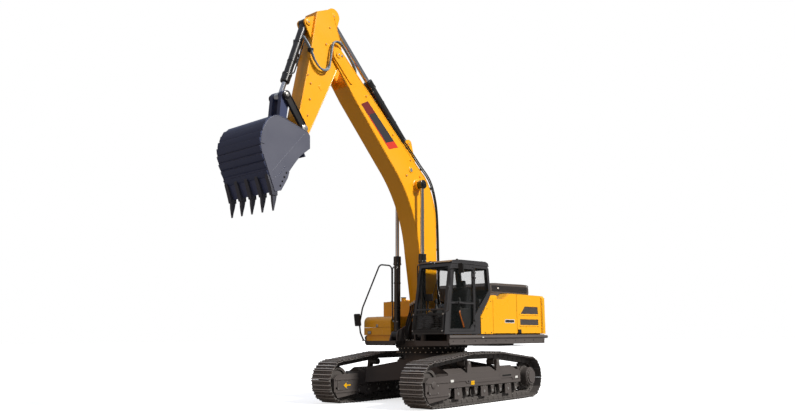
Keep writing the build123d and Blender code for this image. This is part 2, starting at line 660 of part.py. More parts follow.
def boom_face():
    foot_r, tip_r = 200.0, 170.0
    fx, fz = FOOT
    px, pz = ARM_PIN
    edges = [
        Line((fx + foot_r, 0, fz), (BELLY[0][0], 0, BELLY[0][1])),
        ThreePointArc(*[(x, 0, z) for x, z in BELLY]),
        Line((BELLY[2][0], 0, BELLY[2][1]), (2860, 0, 6820)),
        Line((2860, 0, 6820), (3060, 0, 7070)),
        Line((3060, 0, 7070), (px + tip_r * cos(radians(-40)), 0, pz + tip_r * sin(radians(-40)))),
        ThreePointArc((px + tip_r * cos(radians(-40)), 0, pz + tip_r * sin(radians(-40))),
                      (px + tip_r * cos(radians(45)), 0, pz + tip_r * sin(radians(45))),
                      (px + tip_r * cos(radians(132)), 0, pz + tip_r * sin(radians(132)))),
        Line((px + tip_r * cos(radians(132)), 0, pz + tip_r * sin(radians(132))), (630, 0, 5500)),
        ThreePointArc((630, 0, 5500), (205, 0, 4950), (58, 0, 4250)),
        Line((58, 0, 4250), (fx - foot_r, 0, fz)),
        ThreePointArc((fx - foot_r, 0, fz), (fx, 0, fz - foot_r), (fx + foot_r, 0, fz)),
    ]
    return make_face(Wire(edges))


# outline that the boom's hollow follows, from the foot up the front and back down the rear
BOOM_ROOM = [(70, 2230), (494, 2230), (690, 3500), (760, 3950), (880, 4340), (1130, 4800), (1620, 5470),
             (2860, 6820), (2990, 6990), (2900, 7340), (2830, 7540), (630, 5500), (390, 5230), (205, 4950),
             (100, 4620), (58, 4250)]


def boom():
    outer = boom_face()
    fork = side_face([(2890, 7560), (2930, 7440), (3010, 7180), (3060, 6980), (3800, 6980), (3800, 8050),
                      (2890, 8050)])
    cavity = inset(BOOM_ROOM, BOOM_WALL)
    body = across(outer, -BOOM_HALF, BOOM_HALF)
    bend, bend_r = circle_through(*BELLY)
    hollow = across(cavity, -BOOM_HALF + BOOM_WALL, BOOM_HALF - BOOM_WALL)
    body -= hollow - disc(bend, bend_r + BOOM_WALL, -BOOM_HALF, BOOM_HALF)
    body -= across(fork, -FORK_HALF, FORK_HALF)
    body += disc(FOOT, 190, -260, 260)
    for side in (1, -1):
        near, far = sorted((side * 225.0, side * 336.0))
        body += disc(BOOM_EYE, 120, near, far)                     # cylinder rod bosses
        near, far = sorted((side * BOOM_HALF, side * (BOOM_HALF + 24)))
        body += lug([(*ARM_PIN, 150), (2960, 7330, 70), (2960, 7180, 60)], near, far)
        near, far = sorted((side * 104.0, side * 140.0))
        body += lug([(640, 5400, 30), (1220, 5920, 30), (*ARM_BASE, 105)], near, far)
    body += disc((960, 5450), 70, -BOOM_HALF + 5, BOOM_HALF - 5)
    body -= disc((960, 5450), 46, -400, 400)                       # through hole
    body -= disc(FOOT, 60 + PIN_PLAY, -400, 400)
    body += disc(ARM_BASE, PIN_R, -154, 154)
    body += disc(ARM_PIN, 62, -BOOM_HALF - 36, BOOM_HALF + 36)
    return body


def arm_outline(ends):
    """Corners of the arm's side; ends are the two corners at the bucket pin."""
    return ends + [(4430, 6060), (4140, 7430), (3950, 8560), (3580, 8720), (3440, 8620), (3250, 8100),
                   (3185, 7760), (3200, 7540), (3350, 7330), (4110, 5790)]


def arm():
    qx, qz = BUCKET_PIN
    tip_r = 115.0
    nose = [(qx - tip_r * 0.889, qz - tip_r * 0.457), (qx + tip_r * 0.982, qz + tip_r * 0.188)]
    slot = belt_face([(3000, 9000, 200), (*ARM_EYE, 330)])
    slot_wall = belt_face([(3000, 9000, 220), (*ARM_EYE, 350)])
    body = plate(arm_outline(nose), -ARM_HALF, ARM_HALF) + disc(BUCKET_PIN, tip_r, -ARM_HALF, ARM_HALF)
    cavity = inset(arm_outline([(4208, 5600), (4519, 5600)]), ARM_WALL) - slot_wall
    body -= across(cavity, -ARM_HALF + ARM_WALL, ARM_HALF - ARM_WALL)
    body -= across(slot, -84, 84)
    for side in (1, -1):
        near, far = sorted((side * 84.0, side * 124.0))
        body += lug([(3420, 8150, 60), (3800, 8450, 60), (*ARM_EYE, 185)], near, far)
        body += disc(ARM_EYE, PIN_R, *sorted((side * 84.0, side * 140.0)))
        near, far = sorted((side * 94.0, side * 130.0))
        body += lug([(4030, 7960, 40), (*BUCKET_BASE, 100), (3940, 8440, 40)], near, far)
    body += disc(ARM_PIN, 150, -ARM_HALF, ARM_HALF)
    body += disc(ROCKER_PIN, 85, -ARM_HALF, ARM_HALF)
    body += disc(ROCKER_PIN, 45, -270, 270)
    body += disc(BUCKET_BASE, PIN_R, -144, 144)
    body -= disc(ARM_PIN, 62 + PIN_PLAY, -300, 300)
    body -= disc(BUCKET_PIN, 48 + PIN_PLAY, -300, 300)
    return body


def cylinder_tube(base, tip, y, size, length, foot_r, pin_r):
    """Tube with its foot eye on base, pointing at tip. size is (tube, bore, rod) radii."""
    tube_r, bore_r, rod_r = size
    angle = degrees(atan2(tip[1] - base[1], tip[0] - base[0]))

    def along(x0, x1, radius):
        return Pos((x0 + x1) / 2, 0, 0) * Rot(0, 90, 0) * Cylinder(radius, x1 - x0)

    body = Rot(90, 0, 0) * Cylinder(foot_r, 2 * tube_r)
    body += along(foot_r * 0.7, length, tube_r) + along(length - 180, length, tube_r + 12)
    body -= along(foot_r + 20, length - 120, bore_r) + along(length - 130, length + 10, rod_r + 0.3)
    body -= Rot(90, 0, 0) * Cylinder(pin_r + PIN_PLAY, 2 * tube_r + 2)
    return Pos(base[0], y, base[1]) * Rot(0, -angle, 0) * body


def cylinder_rod(base, tip, y, rod_r, length, eye_r, eye_half):
    """Rod with its eye on tip. Its pin is a stub, because the linkage is open here."""
    angle = degrees(atan2(tip[1] - base[1], tip[0] - base[0]))
    reach = hypot(tip[0] - base[0], tip[1] - base[1])
    bar = Pos(reach - (length + eye_r / 2) / 2, 0, 0) * Rot(0, 90, 0) * Cylinder(rod_r, length - eye_r / 2)
    eye = Pos(reach, 0, 0) * Rot(90, 0, 0) * Cylinder(eye_r, 2 * eye_half)
    stub = Pos(reach, 0, 0) * Rot(90, 0, 0) * Cylinder(eye_r * 0.55, 2 * eye_half + 16)
    return Pos(base[0], y, base[1]) * Rot(0, -angle, 0) * (bar + eye + stub)


def boom_cylinders():
    tubes, rods = [], []
    for side in (1, -1):
        y = side * BOOM_CYL_Y
        tubes += cylinder_tube(BOOM_BASE, BOOM_EYE, y, (78, 62, 45), 1890, 108, PIN_R).solids()
        rods += cylinder_rod(BOOM_BASE, BOOM_EYE, y, 45, 2230, 105, 54).solids()
    save("boom_cylinder_tubes", Compound(children=tubes))
    save("boom_cylinder_rods", Compound(children=rods))


def arm_cylinder():
    save("arm_cylinder_tube", cylinder_tube(ARM_BASE, ARM_EYE, 0, (98, 80, 58), 1820, 110, PIN_R))
    save("arm_cylinder_rod", cylinder_rod(ARM_BASE, ARM_EYE, 0, 58, 2080, 112, 68))


def bucket_cylinder():
    tube = cylinder_tube(BUCKET_BASE, LINK_PIN, 0, (88, 70, 52), 1540, 98, PIN_R)
    save("bucket_cylinder_tube", tube)
    save("bucket_cylinder_rod", cylinder_rod(BUCKET_BASE, LINK_PIN, 0, 52, 1600, 100, 68))


def rocker():
    """Two side links from the arm to the link pin; the pin's two halves are part of them."""
    parts = []
    for side in (1, -1):
        near, far = sorted((side * 205.0, side * 245.0))
        link = lug([(*ROCKER_PIN, 88), (*LINK_PIN, 92)], near, far)
        link -= disc(ROCKER_PIN, 45 + PIN_PLAY, -300, 300)
        near, far = sorted((side * 96.0, side * 258.0))
        link += disc(LINK_PIN, 45, near, far)
        parts += link.solids()
    return Compound(children=parts)


def bucket_link():
    link = None
    for side in (1, -1):
        near, far = sorted((side * 94.0, side * 194.0))
        leg = lug([(*LINK_PIN, 105), (*BUCKET_LINK_PIN, 88)][::-1], near, far)
        link = leg if link is None else link + leg
    x = LINK_PIN[0] + 0.62 * (BUCKET_LINK_PIN[0] - LINK_PIN[0])
    z = LINK_PIN[1] + 0.62 * (BUCKET_LINK_PIN[1] - LINK_PIN[1])
    link += disc((x, z), 62, -100, 100)
    link -= disc(LINK_PIN, 45 + PIN_PLAY, -260, 260)
    link += disc(BUCKET_LINK_PIN, 50, -194, 194)
    return link


def bucket_shell_face():
    back = ThreePointArc((5400, 0, 5765), (5690, 0, 5530), (5768, 0, 5170))
    lines = Polyline((5768, 0, 5170), (5715, 0, 4960), (5425, 0, 4270), (5280, 0, 4320), (5130, 0, 4580),
                     (5090, 0, 4690), (4960, 0, 4870), (4790, 0, 5060), (4640, 0, 5090), (4860, 0, 5480),
                     (5110, 0, 5680), (5400, 0, 5765))
    return make_face(Wire([back] + list(lines.edges())))


def bucket():
    half = BUCKET_HALF
    outer = across(bucket_shell_face(), -half + 20, half - 20)
    back = ThreePointArc((5392, 0, 5735), (5664, 0, 5515), (5738, 0, 5172))
    lines = Polyline((5738, 0, 5172), (5688, 0, 4972), (5390, 0, 4262), (5200, 0, 4200), (4500, 0, 4900),
                     (4560, 0, 5070), (4668, 0, 5092), (4882, 0, 5462), (5124, 0, 5652), (5392, 0, 5735))
    room = make_face(Wire([back] + list(lines.edges())))
    for side in (1, -1):
        near, far = sorted((side * 202.0, side * 247.0))
        outer += lug([(*BUCKET_PIN, 118), (4760, 5210, 40), (5160, 5560, 60), (*BUCKET_LINK_PIN, 96)], near, far)
    shell = outer - across(room, -half + 20, half - 20)
    cheek = [(4600, 5595), (5110, 5742), (5280, 5782), (5430, 5778), (5580, 5680), (5690, 5530), (5750, 5350),
            (5770, 5170), (5718, 4960), (5425, 4270), (5280, 4320), (5130, 4580), (5090, 4690),
            (4960, 4870), (4790, 5080), (4545, 5270), (4550, 5530)]
    shell += plate(cheek, half - 32, half) + plate(cheek, -half, -half + 32)
    cutter = [(5425, 4270), (5275, 4310), (5120, 4570), (5080, 4700), (5190, 4790), (5300, 4620), (5520, 4500)]
    shell += plate(cutter, half - 2, half + 18) + plate(cutter, -half - 18, -half + 2)
    shell += disc(BUCKET_PIN, 48, -262, 262)
    for side in (1, -1):
        shell += disc(BUCKET_LINK_PIN, 50, *sorted((side * 202.0, side * 262.0)))
    return shell


def bucket_teeth(shell):
    """Five adapters on the lip, each with its pointed tip."""
    teeth = []
    wedge = [(5430, 4330), (5372, 4330), (5360, 4180), (5400, 3905), (5416, 3900), (5450, 4100), (5452, 4240)]
    for i in range(5):
        y = (i - 2) * 335.0
        tooth = plate(wedge, y - 48, y + 48) - shell
        teeth.append(max(tooth.solids(), key=lambda solid: solid.volume))
    return Compound(children=teeth)


# ================================================================ all pieces
def main():
    undercarriage()
    shell = bucket()
    for name, shape in (
        ("swing_platform", platform()), ("side_skirts", skirts()),
        ("counterweight", counterweight()), ("engine", box(-2250, -1350, -420, 420, 1420, 2250)),
        ("cab_frame", cab_frame()), ("cab_roof", cab_roof()), ("cab_glass", cab_glass()),
        ("cab_front_guard", cab_guard()), ("operator_seat", operator_seat()),
        ("control_consoles", control_consoles()), ("cab_door", cab_door()),
        ("cab_door_glass", door_glass()), ("left_body", left_body()),
        ("middle_left_door", middle_left_door()), ("rear_left_door", rear_side_door(1)),
        ("right_body", right_body()), ("rear_right_door", rear_side_door(-1)),
        ("fuel_tank", tank(-440, 152, 2370)),
        ("hydraulic_tank", tank(-1290, -450, 2370)),
        ("toolbox", toolbox()), ("toolbox_lid", toolbox_lid()), ("engine_hood", engine_hood()),
        ("center_cover", centre_cover()), ("mirrors", mirrors()),
        ("boom", boom()), ("arm", arm()), ("rocker_links", rocker()), ("bucket_link", bucket_link()),
        ("bucket", shell), ("bucket_teeth", bucket_teeth(shell)),
    ):
        save(name, shape)
    boom_cylinders()
    arm_cylinder()
    bucket_cylinder()


main()
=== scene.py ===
"""Crawler excavator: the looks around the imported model."""
import json
import math

import bmesh
import bpy
from mathutils import Matrix, Vector


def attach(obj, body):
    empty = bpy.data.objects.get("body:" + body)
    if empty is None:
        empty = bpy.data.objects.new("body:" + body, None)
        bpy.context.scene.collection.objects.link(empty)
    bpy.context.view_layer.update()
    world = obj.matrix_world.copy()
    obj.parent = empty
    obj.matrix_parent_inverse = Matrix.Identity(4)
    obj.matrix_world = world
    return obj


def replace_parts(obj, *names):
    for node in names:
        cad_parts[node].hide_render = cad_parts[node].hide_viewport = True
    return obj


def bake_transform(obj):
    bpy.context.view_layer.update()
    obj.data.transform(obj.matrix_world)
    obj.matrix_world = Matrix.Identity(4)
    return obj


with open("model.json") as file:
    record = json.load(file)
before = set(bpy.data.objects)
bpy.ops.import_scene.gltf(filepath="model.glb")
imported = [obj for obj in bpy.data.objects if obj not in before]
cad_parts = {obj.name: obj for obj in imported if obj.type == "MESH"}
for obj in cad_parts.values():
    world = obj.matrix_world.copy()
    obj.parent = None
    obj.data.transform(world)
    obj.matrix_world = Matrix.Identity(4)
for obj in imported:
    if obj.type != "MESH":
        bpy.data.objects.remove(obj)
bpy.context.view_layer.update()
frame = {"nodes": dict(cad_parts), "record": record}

# Metres. The origin is on the ground under the swing axis, +X is the way the boom points, +Y is left.
TRACK_TURN = math.radians(4.0)       # the tracks are turned this much under the upper structure
EDGE_ROUND = 0.005                   # rounding of painted edges that the light shows

# Patterns, counted to the metre. The finest are drawn coarser than they are, or they wouldn't show.
DUST_CLOUDS = 1.6                    # patches of settled dust some 600 mm across
SCRAPES = 60.0                       # breaks along a worn edge, 17 mm apart
ORANGE_PEEL = 220.0                  # ripple of sprayed enamel: 4.5 mm for a real 1 mm
STEEL_SHADES = 9.0                   # lighter and darker steel over 110 mm
CAST_GRAIN = 140.0                   # sand grain of a casting: 7 mm for a real 1 mm
MOULD_SHADES = 5.0                   # faint clouds in rubber and plastic over 200 mm
MOULD_GRAIN = 300.0                  # spark-eroded mould texture: 3 mm for a real 0.3 mm


# ---------------------------------------------------------------- materials
def linear(hex_code):
    """Linear colour of an sRGB hex code, opaque."""
    parts = [int(hex_code[i:i + 2], 16) / 255 for i in (0, 2, 4)]
    return (*[p / 12.92 if p <= 0.04045 else ((p + 0.055) / 1.055) ** 2.4 for p in parts], 1.0)


def add(tree, kind, inputs=None, **settings):
    """Adds a node. inputs are values or sockets, by socket name or number; settings are the node's own."""
    node = tree.nodes.new(kind)
    for name, value in settings.items():
        setattr(node, name, value)
    for name, value in (inputs or {}).items():
        if isinstance(value, bpy.types.NodeSocket):
            tree.links.new(value, node.inputs[name])
        else:
            node.inputs[name].default_value = value
    return node


def new_material(name):
    """An empty material, its tree, its surface shader and its object coordinates."""
    material = bpy.data.materials.new(name)
    material.use_nodes = True
    tree = material.node_tree
    shader = tree.nodes["Principled BSDF"]
    place = add(tree, "ShaderNodeTexCoord").outputs["Object"]
    return material, tree, shader, place


def painted(name, colour, dusty, dust=0.25, roughness=0.35, coat=0.3, worn=None, wear=0.0, shell=None):
    """Sprayed enamel on steel: faint orange peel, dust that settles on top and fades the gloss,
    softened edges, and bare metal along them where wear is above zero. shell is a darker colour
    that the plates which don't face sideways take, where it is given: painted shade."""
    material, tree, shader, place = new_material(name)
    soft = add(tree, "ShaderNodeBevel", {"Radius": EDGE_ROUND}, samples=4)
    faced = add(tree, "ShaderNodeNewGeometry").outputs["Normal"]
    cloud = add(tree, "ShaderNodeTexNoise", {"Vector": place, "Scale": DUST_CLOUDS, "Detail": 5.0})
    up = add(tree, "ShaderNodeSeparateXYZ", {0: faced})
    settle = add(tree, "ShaderNodeMapRange", {0: up.outputs["Z"], 1: -0.2, 2: 1.0, 3: 0.25, 4: 1.0})
    patch = add(tree, "ShaderNodeMath", {0: cloud.outputs["Fac"], 1: settle.outputs[0]}, operation="MULTIPLY")
    amount = add(tree, "ShaderNodeMath", {0: patch.outputs[0], 1: dust}, operation="MULTIPLY")
    fresh = linear(colour)
    # Painted shade: plates that don't face sideways take the darker shell colour in place of the paint's own.
    if shell:
        own = add(tree, "ShaderNodeSeparateXYZ", {0: add(tree, "ShaderNodeTexCoord").outputs["Normal"]})
        aside = add(tree, "ShaderNodeMath", {0: own.outputs["Y"]}, operation="ABSOLUTE")
        cheek = add(tree, "ShaderNodeMapRange", {0: aside.outputs[0], 1: 0.6, 2: 0.8, 3: 0.0, 4: 1.0})
        plates = add(tree, "ShaderNodeMix", {"Factor": cheek.outputs[0], "A": linear(shell), "B": fresh},
                     data_type="RGBA")
        fresh = plates.outputs["Result"]
    tone = add(tree, "ShaderNodeMix", {"Factor": amount.outputs[0], "A": fresh, "B": linear(dusty)},
               data_type="RGBA")
    colour_out = tone.outputs["Result"]
    if wear > 0:
        speck = add(tree, "ShaderNodeTexNoise", {"Vector": place, "Scale": SCRAPES, "Detail": 3.0})
        bare = add(tree, "ShaderNodeVectorMath", {0: soft.outputs["Normal"], 1: faced},
                   operation="DOT_PRODUCT")
        edge = add(tree, "ShaderNodeMapRange", {0: bare.outputs["Value"], 1: 0.995, 2: 0.90, 3: 0.0, 4: wear})
        rough_edge = add(tree, "ShaderNodeMath", {0: edge.outputs[0], 1: speck.outputs["Fac"]},
                         operation="MULTIPLY")
        scraped = add(tree, "ShaderNodeMix", {
            "Factor": rough_edge.outputs[0], "A": colour_out, "B": linear(worn)}, data_type="RGBA")
        colour_out = scraped.outputs["Result"]
    tree.links.new(colour_out, shader.inputs["Base Color"])
    gloss = add(tree, "ShaderNodeMapRange", {
        0: cloud.outputs["Fac"], 1: 0.3, 2: 0.7, 3: roughness - 0.05, 4: roughness + 0.12})
    tree.links.new(gloss.outputs[0], shader.inputs["Roughness"])
    peel = add(tree, "ShaderNodeTexNoise", {"Vector": place, "Scale": ORANGE_PEEL, "Detail": 1.0})
    bump = add(tree, "ShaderNodeBump", {
        "Height": peel.outputs["Fac"], "Normal": soft.outputs["Normal"], "Strength": 0.06, "Distance": 0.002})
    tree.links.new(bump.outputs[0], shader.inputs["Normal"])
    shader.inputs["Coat Weight"].default_value = coat
    shader.inputs["Coat Roughness"].default_value = 0.15
    return material


def bare_metal(name, colour, roughness=0.2, grain=0.0, metallic=1.0):
    """Bare steel or chrome: grain is the strength of its turned or rolled marks."""
    material, tree, shader, place = new_material(name)
    shader.inputs["Metallic"].default_value = metallic
    cloud = add(tree, "ShaderNodeTexNoise", {"Vector": place, "Scale": STEEL_SHADES, "Detail": 4.0})
    tone = add(tree, "ShaderNodeMix", {
        "Factor": cloud.outputs["Fac"], "A": linear(colour[0]), "B": linear(colour[1])}, data_type="RGBA")
    tree.links.new(tone.outputs["Result"], shader.inputs["Base Color"])
    gloss = add(tree, "ShaderNodeMapRange", {
        0: cloud.outputs["Fac"], 1: 0.3, 2: 0.7, 3: roughness * 0.8, 4: roughness * 1.3})
    tree.links.new(gloss.outputs[0], shader.inputs["Roughness"])
    if grain:
        grit = add(tree, "ShaderNodeTexNoise", {"Vector": place, "Scale": CAST_GRAIN, "Detail": 6.0})
        bump = add(tree, "ShaderNodeBump", {"Height": grit.outputs["Fac"], "Strength": grain,
                                            "Distance": 0.003})
        tree.links.new(bump.outputs[0], shader.inputs["Normal"])
    return material


def plain(name, colour, roughness=0.6, strength=0.2):
    """Moulded plastic, rubber, cloth or film with a fine even texture."""
    material, tree, shader, place = new_material(name)
    cloud = add(tree, "ShaderNodeTexNoise", {"Vector": place, "Scale": MOULD_SHADES, "Detail": 3.0})
    tone = add(tree, "ShaderNodeMix", {
        "Factor": cloud.outputs["Fac"], "A": linear(colour[0]), "B": linear(colour[1])}, data_type="RGBA")
    tree.links.new(tone.outputs["Result"], shader.inputs["Base Color"])
    shader.inputs["Roughness"].default_value = roughness
    grain = add(tree, "ShaderNodeTexNoise", {"Vector": place, "Scale": MOULD_GRAIN, "Detail": 2.0})
    bump = add(tree, "ShaderNodeBump", {
        "Height": grain.outputs["Fac"], "Strength": strength, "Distance": 0.0003})
    tree.links.new(bump.outputs[0], shader.inputs["Normal"])
    return material


def cab_window():
    """Green-tinted safety glass, 5 mm: clear seen square on, a grey sheen at a slant."""
    material, tree, shader, _ = new_material("tinted_safety_glass")
    shader.inputs["Base Color"].default_value = linear("161C1B")
    shader.inputs["Roughness"].default_value = 0.03
    shader.inputs["IOR"].default_value = 1.5
    slant = add(tree, "ShaderNodeLayerWeight", {0: 0.5})
    body = add(tree, "ShaderNodeMapRange", {0: slant.outputs["Facing"], 1: 0.2, 2: 1.0, 3: 0.04, 4: 0.6})
    tree.links.new(body.outputs[0], shader.inputs["Alpha"])
    return material


# Enamels sprayed on steel plate: a soft gloss that dust dulls from above, worn to metal on the dark gear.
BOOM_PAINT = painted("boom_enamel", "FFB10A", "E8B050", dust=0.06, roughness=0.34, coat=0.2)
BODY_PAINT = painted("body_enamel", "FFB40B", "E8B050", dust=0.04, roughness=0.28, coat=0.5)
FRAME_PAINT = painted("charcoal_enamel", "524C4A", "6A645F", dust=0.25, roughness=0.5, coat=0.0,
                      worn="8A8078", wear=0.5)
CAB_PAINT = painted("cab_graphite_enamel", "343335", "5A585A", dust=0.12, roughness=0.28, coat=0.7)
BLACK_PAINT = painted("black_powder_coat", "19191B", "3A3836", dust=0.25, roughness=0.34, coat=0.3)
# Dark slate: the bucket link's own colour, and on the wear bands painted shade that darkens the bucket's
# back.
SLATE_AND_SHADE_PAINT = painted("dark_slate_enamel_and_painted_shade", "343E60", "4C567A", dust=0.15, roughness=0.38, coat=0.1,
                     worn="A8A8B0", wear=0.6)
# The bucket's back and lip take the darker navy shell: painted shade, not a second paint.
BUCKET_PAINT = painted("bucket_slate_enamel_with_painted_shade", "585A68", "70717E", dust=0.22, roughness=0.42, coat=0.1,
                       worn="A8A8B0", wear=0.5, shell="3C466A")
BLACK_GLOSS = painted("black_cylinder_enamel", "0C0C0E", "3A3632", dust=0.15, roughness=0.25, coat=0.5)
TOOTH_STEEL = painted("tooth_cast_steel", "3C3E49", "6B6A70", dust=0.25, roughness=0.45, coat=0.0,
                      worn="B4B4BA", wear=0.8)
TRACK_STEEL = painted("track_forged_steel", "565250", "746D68", dust=0.3, roughness=0.36, coat=0.0,
                      worn="C4BEB8", wear=1.0)

# Metals: chrome mirrors the sky in a narrow streak, castings scatter it over their sand grain.
CAST_IRON = bare_metal("cast_iron", ("1C1B1A", "2E2B29"), roughness=0.55, grain=0.3, metallic=0.4)
CHROME = bare_metal("hard_chrome", ("D8DADF", "C4C7CE"), roughness=0.10)
ENGINE_ALLOY = bare_metal("cast_aluminium", ("8A8A88", "6E6E6C"), roughness=0.5, grain=0.3)
ZINC = bare_metal("zinc_plated_steel", ("C4C3BF", "A8A7A3"), roughness=0.35, metallic=0.8)
MIRROR_GLASS = bare_metal("mirror_silvering", ("C8CCD0", "C0C4C8"), roughness=0.04)
# Grouser tips: worn bright steel, made lighter still as a painted highlight where the sky would catch them.
GROUSER_WEAR_AND_HIGHLIGHT = bare_metal("worn_grouser_steel_and_painted_highlight", ("D6D2CE", "A8A39E"), roughness=0.38, grain=0.2,
                           metallic=0.5)

# Glass, plastic, cloth, rubber and film: even colours that differ in how broad their highlight is.
GLASS = cab_window()
SEAT_CLOTH = plain("seat_cloth", ("17171A", "222226"), roughness=0.9)
CONSOLE = plain("console_plastic", ("1E1E1F", "2A2A2B"), roughness=0.55)
MIRROR_PLASTIC = plain("mirror_housing_plastic", ("101010", "181818"), roughness=0.5)
RUBBER = plain("black_rubber", ("0E0E0F", "191919"), roughness=0.7)
HOSE = plain("hose_cover_rubber", ("6E7C88", "80909C"), roughness=0.32)
# Near black for holes and recesses: painted shade inside them.
OPENING_SHADE_BLACK = plain("painted_shade_in_openings", ("040404", "070707"), roughness=0.9)
WHITE_FILM = plain("white_vinyl_film", ("E8E8E4", "DADAD6"), roughness=0.35, strength=0.05)
YELLOW_FILM = plain("yellow_vinyl_film", ("F2B705", "E8AD08"), roughness=0.35, strength=0.05)
GREY_FILM = plain("grey_vinyl_film", ("3A393C", "343336"), roughness=0.35, strength=0.05)
DARK_RED_FILM = plain("dark_red_vinyl_film", ("7E2A2A", "742626"), roughness=0.35, strength=0.05)
RED_FILM = plain("red_vinyl_film", ("E2402C", "D63A28"), roughness=0.35, strength=0.05)
AMBER = plain("amber_lever_paint", ("E87A12", "DC7210"), roughness=0.4, strength=0.05)
LENS = plain("lamp_lens", ("C8CCD0", "B8BCC0"), roughness=0.1, strength=0.05)
SCREEN_GLASS = plain("screen_face", ("2A3A48", "344656"), roughness=0.12, strength=0.02)

SLOT_FINISH = {
    "boom_yellow": BOOM_PAINT, "body_yellow": BODY_PAINT, "frame_dark": FRAME_PAINT,
    "black_paint": BLACK_PAINT, "cab_charcoal": CAB_PAINT, "track_steel": TRACK_STEEL,
    "bucket_grey": BUCKET_PAINT, "rod_chrome": CHROME, "cylinder_black": BLACK_PAINT,
    "casting_iron": CAST_IRON, "engine_block": ENGINE_ALLOY, "window_glass": GLASS,
    "seat_fabric": SEAT_CLOTH, "console_plastic": CONSOLE, "mirror_black": MIRROR_PLASTIC,
}
for part in frame["record"]["subparts"]:
    mesh = frame["nodes"][part["node"]].data
    mesh.materials.clear()
    mesh.materials.append(SLOT_FINISH[part["material_slot"]])
frame["nodes"]["bucket_link"].data.materials[0] = SLATE_AND_SHADE_PAINT
# The hood takes the lighter charcoal, not black: its own dark grey with painted sky reflection on its
# screens.
frame["nodes"]["engine_hood"].data.materials[0] = FRAME_PAINT


# ---------------------------------------------------------------- shapes
def draw_out(shape, end):
    """Extrudes the end face of a shape and returns the new end."""
    made = bmesh.ops.extrude_face_region(shape, geom=[end, *end.edges])["geom"]
    return next(item for item in made if isinstance(item, bmesh.types.BMFace))


def loft(rings):
    """Closed skin: a face on the first ring of points, drawn out to each of the others."""
    shape = bmesh.new()
    end = shape.faces.new([shape.verts.new(point) for point in rings[0]])
    for ring in rings[1:]:
        end = draw_out(shape, end)
        for vert, point in zip(end.verts, ring):
            vert.co = point
    return shape


def station(centre, side, axis, radius):
    """Place of a unit circle: about centre, square to axis, with its first corner toward side."""
    turn = Matrix((side.cross(axis), side, axis)).transposed().to_4x4()
    return Matrix.Translation(centre) @ turn @ Matrix.Scale(radius, 4)


def tube(stations, sides):
    """Closed round skin: a circle at the first station, drawn out to each of the others."""
    shape = bmesh.new()
    bmesh.ops.create_circle(shape, cap_ends=True, segments=sides, radius=1.0)
    end = next(iter(shape.faces))
    circle = [vert.co.copy() for vert in end.verts]
    for k, place in enumerate(stations):
        if k > 0:
            end = draw_out(shape, end)
        for vert, corner in zip(end.verts, circle):
            vert.co = place @ corner
    return shape


